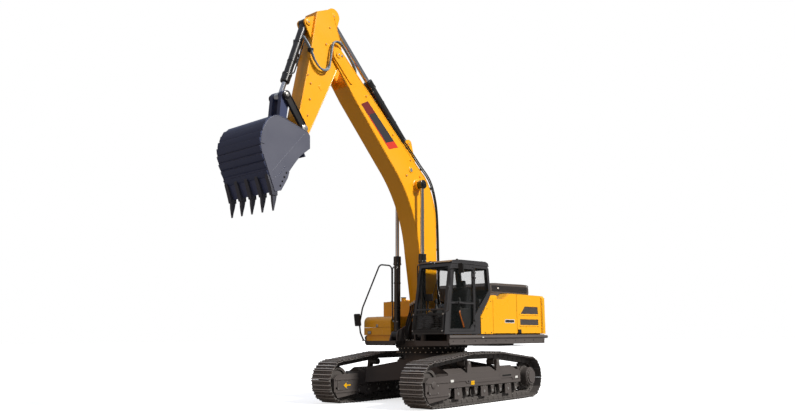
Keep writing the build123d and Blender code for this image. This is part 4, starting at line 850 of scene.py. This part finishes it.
def cab_details():
    """Seals, rails, roof caps and hatch, wiper, the mesh before the lower screen, and the door's lock."""
    trim = Piece("cab_window_seals", "upper", RUBBER, "black_paint")
    rails = Piece("cab_rails_and_caps", "upper", CAB_PAINT, "cab_charcoal")
    right = [(-366, 2540), (-300, 3060), (925, 3060), (1075, 2200), (1090, 2020), (120, 2020)]
    quarter = [(150, 1990), (150, 3060), (-300, 3060), (-368, 2540)]
    screen = [(1262, 1652), (1182, 2200), (1036, 2985), (1018, 3052)]
    window_seal(trim, [(x, CAB_LOW + 1, z) for x, z in right])
    window_seal(trim, [(x, CAB_HIGH - 1, z) for x, z in quarter])
    window_seal(trim, [(x, 600, z) for x, z in screen] + [(x, 1400, z) for x, z in screen[::-1]])
    rails.box(1185, 1215, 602, 1398, 2075, 2115, 6)              # between the two front panes
    rails.pipe([(-385, CAB_HIGH + 2, 3128), (300, CAB_HIGH + 4, 3146), (1000, CAB_HIGH + 2, 3128)], 12, 8, 3)
    for x, y in ((710, 1400), (-220, 1400), (710, 600), (-220, 600)):
        rails.lathe((x, y, 3212), (0, 0, 1), [(0, 30), (22, 30), (32, 20)], 20)
    rails.box(-200, 640, 700, 1300, 3226, 3236, 3)               # roof hatch and its ribs
    for k in range(9):
        rails.box(-150 + 90 * k, -110 + 90 * k, 740, 1260, 3236, 3243, 2)
    wiper = Piece("windscreen_wiper", "upper", BLACK_PAINT, "black_paint")
    wiper.pipe([(1212, 1330, 2140), (1178, 1240, 2420), (1120, 1130, 2700)], 9, 8, 3)
    wiper.bar((1215, 1060, 2330), (1052, 1190, 3010), 7, 6)
    wiper.lathe((1200, 1330, 2140), (1, 0, 0.18), [(0, 28), (24, 28), (30, 20)], 20)
    guard = Piece("front_guard_mesh", "upper", BLACK_PAINT, "black_paint")
    for k in range(19):
        y = 592 + 45.4 * k
        guard.bar((1312, y, 1642), (1284, y, 1968), 4.5, 6)
    for k in range(8):
        z = 1645 + 45.5 * k
        x = 1312 - 28 * (z - 1642) / 326                         # on the slope of the uprights
        guard.bar((x, 592, z), (x, 1408, z), 4.5, 6)
    heads = Piece("front_guard_bolts", "upper", ZINC, "rod_chrome")
    for y in (568, 1432):
        for x, z in ((1323, 1622), (1285, 1988)):
            heads.bolt((x, y, z), (1, 0, 0.08), 17, 14)
    grab = Piece("cab_grab_rails", "upper", CAB_PAINT, "cab_charcoal")
    grab.pipe([(1120, CAB_HIGH - 6, 2560), (1150, CAB_HIGH + 48, 2540), (1180, CAB_HIGH + 50, 2100),
               (1196, CAB_HIGH - 6, 2060)], 13, 10, 5)
    seal = Piece("cab_door_seals", "cab_door", RUBBER, "black_paint")
    for pane in ([(228, 2266), (1022, 2266), (912, 3020), (228, 3020)],
                 [(360, 1670), (1076, 1670), (1030, 2224), (228, 2224), (228, 1800)]):
        window_seal(seal, [(x, CAB_HIGH - 1, z) for x, z in pane])
    lock = Piece("cab_door_lock", "cab_door", BLACK_PAINT, "black_paint")
    lock.box(800, 880, CAB_HIGH - 3, CAB_HIGH + 8, 2222, 2268, 4)
    lock.lathe((860, CAB_HIGH + 6, 2245), (0, 1, 0), [(0, 14), (8, 14)], 16)


def cab_inside():
    """Seat, consoles, levers, screen and floor mat."""
    y = (CAB_LOW + CAB_HIGH) / 2
    for name, half, fill, points in (
            ("seat_cushion", 246, 0.8, [(112, 1842), (640, 1862), (668, 1900), (655, 1950), (600, 1972),
                                        (160, 1950), (108, 1925)]),
            ("seat_back", 236, 0.8, [(112, 1940), (200, 1930), (222, 2000), (150, 2480), (108, 2600),
                                     (70, 2634), (28, 2620), (14, 2540)]),
            ("seat_headrest", 116, 0.9, [(24, 2648), (70, 2640), (112, 2664), (104, 2780), (66, 2798),
                                         (34, 2780), (18, 2700)])):
        soft_block(name, points, y - half, y + half)
    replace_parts(seat_shell(y), "operator_seat")
    dark = Piece("cab_levers_and_screen", "upper", CONSOLE, "console_plastic")
    for side in (1, -1):
        at = y + side * 345
        dark.lathe((585, at, 2262), (0.05, 0, 1), [(0, 24), (10, 36), (60, 34), (100, 26), (112, 12)], 20)
        dark.lathe((585, at, 2140), (0, 0, 1), [(0, 52), (40, 34), (90, 25)], 20)
        dark.box(110, 470, at - 50, at + 50, 2112, 2136, 10)
        for k in range(5):
            dark.box(300 + 34 * k, 322 + 34 * k, at - 34, at - 14, 2134, 2141, 2)
        dark.lathe((860, y + side * 105, 2050), (0, 0, 1), [(0, 17), (20, 26), (60, 24), (76, 12)], 18)
    dark.box(930, 965, 640, 860, 2300, 2460, 8)
    dark.bar((948, 700, 2040), (948, 720, 2310), 18)
    dark.box(-330, -120, 620, 1380, 1640, 2360, 24)
    block("cab_screen_face", "upper", SCREEN_GLASS, "window_glass", 926, 931, 655, 845, 2315, 2445, 2)
    amber = Piece("safety_lever", "upper", AMBER, "body_yellow")
    amber.pipe([(520, 1405, 1700), (585, 1408, 1850), (655, 1405, 2010), (640, 1398, 2070)], 17, 10, 5)
    block("cab_floor_mat", "upper", RUBBER, "console_plastic", 120, 1230, CAB_LOW + 56, CAB_HIGH - 56,
          1601, 1606, 2)


def soft_block(name, points, y0, y1):
    """Cushion: a rounded foam form under a cloth cover that is filled and settles."""
    cx = sum(x for x, _ in points) / len(points)
    cz = sum(z for _, z in points) / len(points)
    sections = []
    for k in range(CUSHION_SECTIONS + 1):
        left = 0.93 if k in (0, CUSHION_SECTIONS) else 1.0       # the ends are drawn in
        y = (y0 + (y1 - y0) * k / CUSHION_SECTIONS) / 1000
        sections.append([((cx + (x - cx) * left) / 1000, y, (cz + (z - cz) * left) / 1000)
                         for x, z in points])
    form = loft(sections)
    bmesh.ops.recalc_face_normals(form, faces=form.faces)
    mesh = bpy.data.meshes.new(name)
    form.to_mesh(mesh)
    form.free()
    cushion = bpy.data.objects.new(name, mesh)
    bpy.context.scene.collection.objects.link(cushion)
    mesh.materials.append(SEAT_CLOTH)
    remesh = cushion.modifiers.new("even", "REMESH")
    remesh.mode = "VOXEL"
    remesh.voxel_size = 0.007
    smooth = cushion.modifiers.new("round", "SMOOTH")
    smooth.iterations = 14
    smooth.factor = 0.5
    apply_modifiers(cushion)
    start = [vert.co.copy() for vert in cushion.data.vertices]
    cloth = cushion.modifiers.new("cloth", "CLOTH")
    cloth.settings.quality = 6
    cloth.settings.mass = 0.3
    cloth.settings.tension_stiffness = cloth.settings.compression_stiffness = 40
    cloth.settings.use_pressure = True
    cloth.settings.uniform_pressure_force = 4
    cloth.settings.effector_weights.gravity = 0
    cloth.point_cache.frame_start, cloth.point_cache.frame_end = 1, CLOTH_FRAMES
    for frame_number in range(1, CLOTH_FRAMES + 1):
        bpy.context.scene.frame_set(frame_number)
    apply_modifiers(cushion)
    for vert, was in zip(cushion.data.vertices, start):
        moved = vert.co - was
        vert.co = was + moved * min(1.0, CUSHION_SWELL / max(moved.length, 1e-9))
    bpy.context.scene.frame_set(1)
    cushion.data.polygons.foreach_set("use_smooth", [True] * len(cushion.data.polygons))
    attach(cushion, "upper")


def apply_modifiers(thing):
    """Bakes what the modifiers make of a mesh into the mesh itself."""
    graph = bpy.context.evaluated_depsgraph_get()
    done = bpy.data.meshes.new_from_object(thing.evaluated_get(graph))
    thing.modifiers.clear()
    thing.data = done


def seat_shell(y):
    """Suspension base, pan and back shell that the cushions sit in."""
    shell = Piece("seat_base_and_shell", "upper", CONSOLE, "console_plastic")
    shell.box(180, 560, y - 170, y + 170, 1602, 1640, 10)
    for k in range(6):                                           # bellows over the suspension
        shell.box(210 + 6 * (k % 2), 530 - 6 * (k % 2), y - 150, y + 150, 1640 + 28 * k, 1666 + 28 * k, 8)
    shell.box(140, 600, y - 215, y + 215, 1806, 1844, 12)
    shell.prism([(10, 1900), (90, 1900), (6, 2560), (10, 2630), (-10, 2610), (-18, 2540)], y - 214, y + 214)
    for offset in (-60, 60):
        shell.bar((44, y + offset, 2600), (54, y + offset, 2680), 8, 10)
    return shell.finish()


# ---------------------------------------------------------------- bodywork
TANK_TOP = 2370                      # height of both tanks' tops
HOOD_SIDE = 1196                     # side faces of the engine hood
VENT_FLOOR = 1460                    # bottom of the vents in the doors


def body_details():
    """Louvres, lips and latches of the rear doors, blank name plate, hinge bolts and intake boxes."""
    for body, side in (("rear_left_door", 1), ("rear_right_door", -1)):
        slats = Piece(body.split("_")[1] + "_door_louvres", body, FRAME_PAINT, "frame_dark")
        #    z low, z high, slats, (x at low: front, back), (x at high: front, back)
        for low, high, count, at_low, at_high in ((2032, 2212, 7, (-1678, -2458), (-1868, -2450)),
                                                  (1757, 1898, 5, (-1652, -2458), (-1652, -2458))):
            slats.prism([(at_low[0], low), (at_high[0], high), (at_high[1], high), (at_low[1], low)],
                        side * (VENT_FLOOR - 1), side * (VENT_FLOOR + 1))
            for k in range(count):
                t = (k + 0.5) / count
                z = low + (high - low) * t
                ends = [a + (b - a) * t + inset for a, b, inset in zip(at_low, at_high, (-6, 6))]
                slats.skin([[(x, side * VENT_FLOOR, z - 10), (x, side * VENT_FLOOR, z + 2),
                             (x, side * (BODY_SIDE - 1), z + 5), (x, side * (BODY_SIDE - 1), z + 1)]
                            for x in ends])
        lips = Piece(body + "_vent_lips", body, BODY_PAINT, "body_yellow")
        for low, front in ((1998, -1640), (1722, -1625)):
            lips.skin([[(x, side * (BODY_SIDE + out), low + up)
                        for out, up in ((1, 0), (1, 34), (6, 26), (12, 6))] for x in (front, -2480)])
        block(body + "_latch_cover", body, BLACK_PAINT, "black_paint", -1665, -1545,
              side * (BODY_SIDE - 2), side * (BODY_SIDE + 25), 1560, 1655, 6)
    plate = Piece("blank_name_plate", "middle_left_door", WHITE_FILM, "body_yellow")
    plate.prism(round_corners([(-1000, 1806), (-1400, 1806), (-1400, 1892), (-1000, 1892)], 10),
                BODY_SIDE - 0.5, BODY_SIDE + 2)
    block("blank_name_plate_field", "middle_left_door", GREY_FILM, "body_yellow", -1385, -1015,
          BODY_SIDE + 1.5, BODY_SIDE + 3, 1818, 1880)
    seams = Piece("body_hinges_and_trim", "upper", BLACK_PAINT, "black_paint")
    for x, z in ((-200, 1580), (-440, 1580), (-90, 1900), (-290, 2130), (-440, 2310)):
        seams.side_bolt((x, z), BODY_SIDE, 11, 8)
    cover = Piece("intake_boxes", "upper", BODY_PAINT, "body_yellow")
    cover.box(-800, -480, 1220, 1400, 2364, 2462, 18)
    cover.box(-800, -520, -1420, -1230, 2370, 2440, 18)


def hood_details():
    """Screens on three sides of the hood, raised panels with slats on its top, and a blank label."""
    screens = Piece("hood_screens", "engine_hood", CAB_PAINT, "cab_charcoal")
    # The frames are in the lighter charcoal as a painted reflection of the sky along the hood's rims.
    rim = Piece("hood_frames", "engine_hood", FRAME_PAINT, "frame_dark")
    for side in (1, -1):
        for k in range(49):
            x = -880 - 31 * k
            screens.box(x - 6, x + 6, side * (HOOD_SIDE + 3), side * (HOOD_SIDE + 13), 2568, 2722)
        for k in range(6):
            z = 2580 + 26 * k
            screens.box(-2400, -860, side * (HOOD_SIDE + 3), side * (HOOD_SIDE + 9), z - 4, z + 4)
        rim.pipe([(x, side * (HOOD_SIDE + out), z) for x, out, z in (
            (-822, 4, 2560), (-806, 4, 2695), (-864, 0, 2762), (-1500, 0, 2768), (-2358, 0, 2772),
            (-2436, 4, 2700), (-2448, 4, 2560))], 12, 8, 3)
        rim.box(-2440, -830, side * HOOD_SIDE, side * (HOOD_SIDE + 16), 2544, 2566, 3)
    for x in (-1130, -1630, -2130):
        rim.box(x - 215, x + 215, -1080, 1080, 2764, 2780, 4)
        for i in range(26):
            y = -1040 + 83 * i
            screens.box(x - 190, x + 190, y - 22, y + 22, 2778, 2784)
    for k in range(33):
        y = -1120 + 70 * k
        screens.prism([(-822, 2420), (-803, 2690), (-792, 2690), (-812, 2420)], y - 14, y + 14)
    block("hood_blank_label", "engine_hood", WHITE_FILM, "black_paint", -1150, -1090, HOOD_SIDE + 13,
          HOOD_SIDE + 16, 2640, 2675)


def right_side_details():
    """Studded steps and filler caps on the tanks, lamps, toolbox treads and catch, mirror fittings."""
    black = Piece("right_side_steps_and_caps", "upper", BLACK_PAINT, "black_paint")
    for x0, x1 in ((-400, 110), (-1240, -500)):
        black.box(x0, x1, -1380, -700, TANK_TOP - 1, TANK_TOP + 5, 2)
        for k in range(int((x1 - x0) / 60)):
            for i in range(9):
                stud = (x0 + 40 + 60 * k, -1340 + 75 * i, TANK_TOP + 4)
                black.lathe(stud, (0, 0, 1), [(0, 17), (5, 12)], 8)
    black.lathe((-150, -640, TANK_TOP - 2), (0, 0, 1), [(0, 62), (22, 62), (30, 52), (46, 52), (50, 46)], 28)
    black.lathe((-1120, -640, TANK_TOP - 2), (0, 0, 1), [(0, 40), (60, 40), (70, 30)], 24)
    black.box(50, 140, -880, -770, 2452, 2472, 4)
    block("lamp_stand", "upper", BODY_PAINT, "body_yellow", 55, 135, -875, -775, TANK_TOP - 2, 2453, 6)
    block("toolbox_lamp", "upper", BLACK_PAINT, "black_paint", 846, 860, -1340, -1220, 1560, 1640, 6)
    block("toolbox_lamp_lens", "upper", LENS, "window_glass", 858, 864, -1328, -1232, 1572, 1628, 4)
    tread = Piece("toolbox_lid_tread", "toolbox_lid", BLACK_PAINT, "black_paint")
    for k in range(7):
        tread.box(230 + 60 * k, 262 + 60 * k, -1290, -720, 1984, 1990, 2)
    block("toolbox_catch", "toolbox_lid", ZINC, "rod_chrome", 847, 862, -1050, -980, 1730, 1800, 4)
    brackets = Piece("mirror_brackets", "upper", BLACK_PAINT, "black_paint")
    for x, z in ((922, 1398), (-110, 2378)):
        brackets.lathe((x, -1420, z), (0, 0, 1), [(0, 42), (14, 42), (20, 26), (34, 24)], 20)
    block("mirror_glass", "upper", MIRROR_GLASS, "mirror_black", 1052, 1056, -1560, -1392, 1775, 2045, 3,
          Matrix.Rotation(math.radians(8), 4, "Y"))


def counterweight_details():
    """Lifting eyes, caps and the grilles at its front corners."""
    paint = Piece("counterweight_lifting_eyes", "upper", BODY_PAINT, "body_yellow")
    dark = Piece("counterweight_caps_and_grilles", "upper", BLACK_PAINT, "black_paint")
    for side in (1, -1):
        eye = side * 620
        paint.box(-3020, -2860, eye - 22, eye + 22, 2490, 2570, 14)
        dark.lathe((-2940, eye - 24, 2535), (0, 1, 0), [(0, 24), (48, 24)], 24)
        dark.lathe((-2780, side * 1050, 2499), (0, 0, 1), [(0, 60), (8, 60), (12, 52)])
        dark.box(-2640, -2625, side * 1478, side * 1492, 1560, 2440, 3)


def skirt_details():
    """Bull-nosed rail along the skirts, with the bolts and the blank decal below it."""
    rail = Piece("skirt_rails", "upper", FRAME_PAINT, "frame_dark")
    bolts = Piece("skirt_bolts", "upper", BLACK_PAINT, "frame_dark")
    for side, front in ((1, 1140), (-1, 795)):
        y = side * BODY_SIDE
        rail.pipe([(front, y, 1474), (front - 400, y + side * 6, 1474), (-2560, y + side * 6, 1474),
                   (-2650, y - side * 20, 1474)], 38, 16, 3)
        rail.box(-2560, front - 40, y + side * 16, y + side * 26, 1322, 1344, 4)
        rail.box(-2680, -2590, y - side * 40, y + side * 30, 1318, 1505, 30)
    for side, front in ((1, 1100), (-1, 760)):
        for k in range(9):
            x = front - 90 - (front + 2500) * k / 9
            bolts.side_bolt((x, 1392), side * (BODY_SIDE + 20), 12, 9)
    block("skirt_blank_decal", "upper", WHITE_FILM, "frame_dark", -90, -30, BODY_SIDE + 39, BODY_SIDE + 45,
          1464, 1484)


def underside_and_deck():
    """Guard plates under the platform, and the centre cover's ribs between the boom's sides."""
    plates = Piece("underside_guard_plates", "upper", FRAME_PAINT, "frame_dark")
    for x in (-2480, -2060, -1640, -1220):
        for y in (-1020, 20, 1020):
            plates.box(x, x + 400, y - 400, y + 400, 1262, 1271, 3)
    ribs = Piece("center_cover_ribs", "upper", BLACK_PAINT, "black_paint")
    for k in range(6):
        y = -380 + 150 * k
        ribs.prism([(-476, 1500), (-424, 2040), (-408, 2040), (-460, 1500)], y - 16, y + 16)


for details in (wheel_and_frame_details, swing_bearing, undercarriage_marks, boom_details, boom_panels,
                arm_details, hoses, cylinder_details, rod_eyes, linkage_details, bucket_details, cab_details,
                cab_inside, body_details, hood_details, right_side_details, counterweight_details,
                skirt_details, underside_and_deck):
    details()
while Piece.unfinished:
    Piece.unfinished[0].finish()


# ---------------------------------------------------------------- camera, floor and light
WHITE = linear("FFFFFF")
FLOOR_GLOW = 0.70                    # of the floor that the camera sees
SKY_LOW, SKY_OVERHEAD = 0.19, 0.75   # strength of the sky's light


def camera():
    """Low camera to the front left that looks slightly up, so that the uprights lean as they do on site."""
    yaw, pitch, roll = (math.radians(a) for a in (222.91, 9.43, -0.39))
    ahead = Vector((math.cos(yaw) * math.cos(pitch), math.sin(yaw) * math.cos(pitch), math.sin(pitch)))
    right = ahead.cross(Vector((0, 0, 1))).normalized()
    up = right.cross(ahead)
    tilted_right = math.cos(roll) * right + math.sin(roll) * up
    tilted_up = math.cos(roll) * up - math.sin(roll) * right
    data = bpy.data.cameras.new("camera")
    data.sensor_width = 36.0
    data.lens = 34.87
    data.clip_end = 500.0
    seen = bpy.data.objects.new("camera", data)
    turn = Matrix((tilted_right, tilted_up, -ahead)).transposed().to_4x4()
    seen.matrix_world = Matrix.Translation((14.46, 12.34, 1.54)) @ turn
    bpy.context.scene.collection.objects.link(seen)
    bpy.context.scene.camera = seen


def floor():
    """White ground that shows as white where the camera looks at it and takes the machine's shadow."""
    bm = bmesh.new()
    bmesh.ops.create_grid(bm, x_segments=1, y_segments=1, size=150.0)
    mesh = bpy.data.meshes.new("floor")
    bm.to_mesh(mesh)
    bm.free()
    ground = bpy.data.objects.new("floor", mesh)
    bpy.context.scene.collection.objects.link(ground)
    material = bpy.data.materials.new("white_floor")
    material.use_nodes = True
    tree = material.node_tree
    shader = tree.nodes["Principled BSDF"]
    seen = add(tree, "ShaderNodeLightPath").outputs["Is Camera Ray"]
    tone = add(tree, "ShaderNodeMix", {"Factor": seen, "A": linear("74706E"), "B": linear("E4E4E4")},
               data_type="RGBA")
    glow = add(tree, "ShaderNodeMath", {0: seen, 1: FLOOR_GLOW}, operation="MULTIPLY")
    tree.links.new(tone.outputs["Result"], shader.inputs["Base Color"])
    tree.links.new(glow.outputs[0], shader.inputs["Emission Strength"])
    shader.inputs["Emission Color"].default_value = WHITE
    shader.inputs["Roughness"].default_value = 0.9
    mesh.materials.append(material)


def sun(name, direction, strength, angle, colour):
    """Lamp far away in that direction; a wider angle in degrees gives softer shadows."""
    data = bpy.data.lights.new(name, "SUN")
    data.energy = strength
    data.angle = math.radians(angle)
    data.color = linear(colour)[:3]
    lamp = bpy.data.objects.new(name, data)
    lamp.rotation_euler = Vector(direction).to_track_quat("Z", "Y").to_euler()
    bpy.context.scene.collection.objects.link(lamp)


def studio():
    """Dim white sky low down, brighter and bluish overhead, white where the camera sees it, and two suns."""
    world = bpy.data.worlds.new("studio")
    world.use_nodes = True
    tree = world.node_tree
    seen = add(tree, "ShaderNodeLightPath").outputs["Is Camera Ray"]
    sky = tree.nodes["Background"]
    look = add(tree, "ShaderNodeTexCoord").outputs["Generated"]
    height = add(tree, "ShaderNodeSeparateXYZ", {0: look}).outputs["Z"]
    level = add(tree, "ShaderNodeMapRange", {
        0: height, 1: 0.35, 2: 1.0, 3: SKY_LOW, 4: SKY_OVERHEAD}).outputs[0]
    share = add(tree, "ShaderNodeMapRange", {
        0: level, 1: SKY_LOW, 2: SKY_OVERHEAD, 3: 0.0, 4: 1.0}).outputs[0]
    blue = add(tree, "ShaderNodeMix", {"Factor": share, "A": WHITE, "B": linear("C4D2EE")}, data_type="RGBA")
    tone = add(tree, "ShaderNodeMix", {"Factor": seen, "A": blue.outputs["Result"], "B": WHITE},
               data_type="RGBA")
    shown = add(tree, "ShaderNodeMix", {"Factor": seen, "A": level, "B": 1.0})
    tree.links.new(tone.outputs["Result"], sky.inputs[0])
    tree.links.new(shown.outputs["Result"], sky.inputs[1])
    bpy.context.scene.world = world
    sun("key", (-0.22, 1.0, 0.80), 3.9, 8.0, "FFFCF6")
    sun("fill", (1.0, -0.15, 0.25), 0.30, 45.0, "FFC48A")


camera()
floor()
studio()
scene = bpy.context.scene
scene.view_settings.view_transform = "Standard"
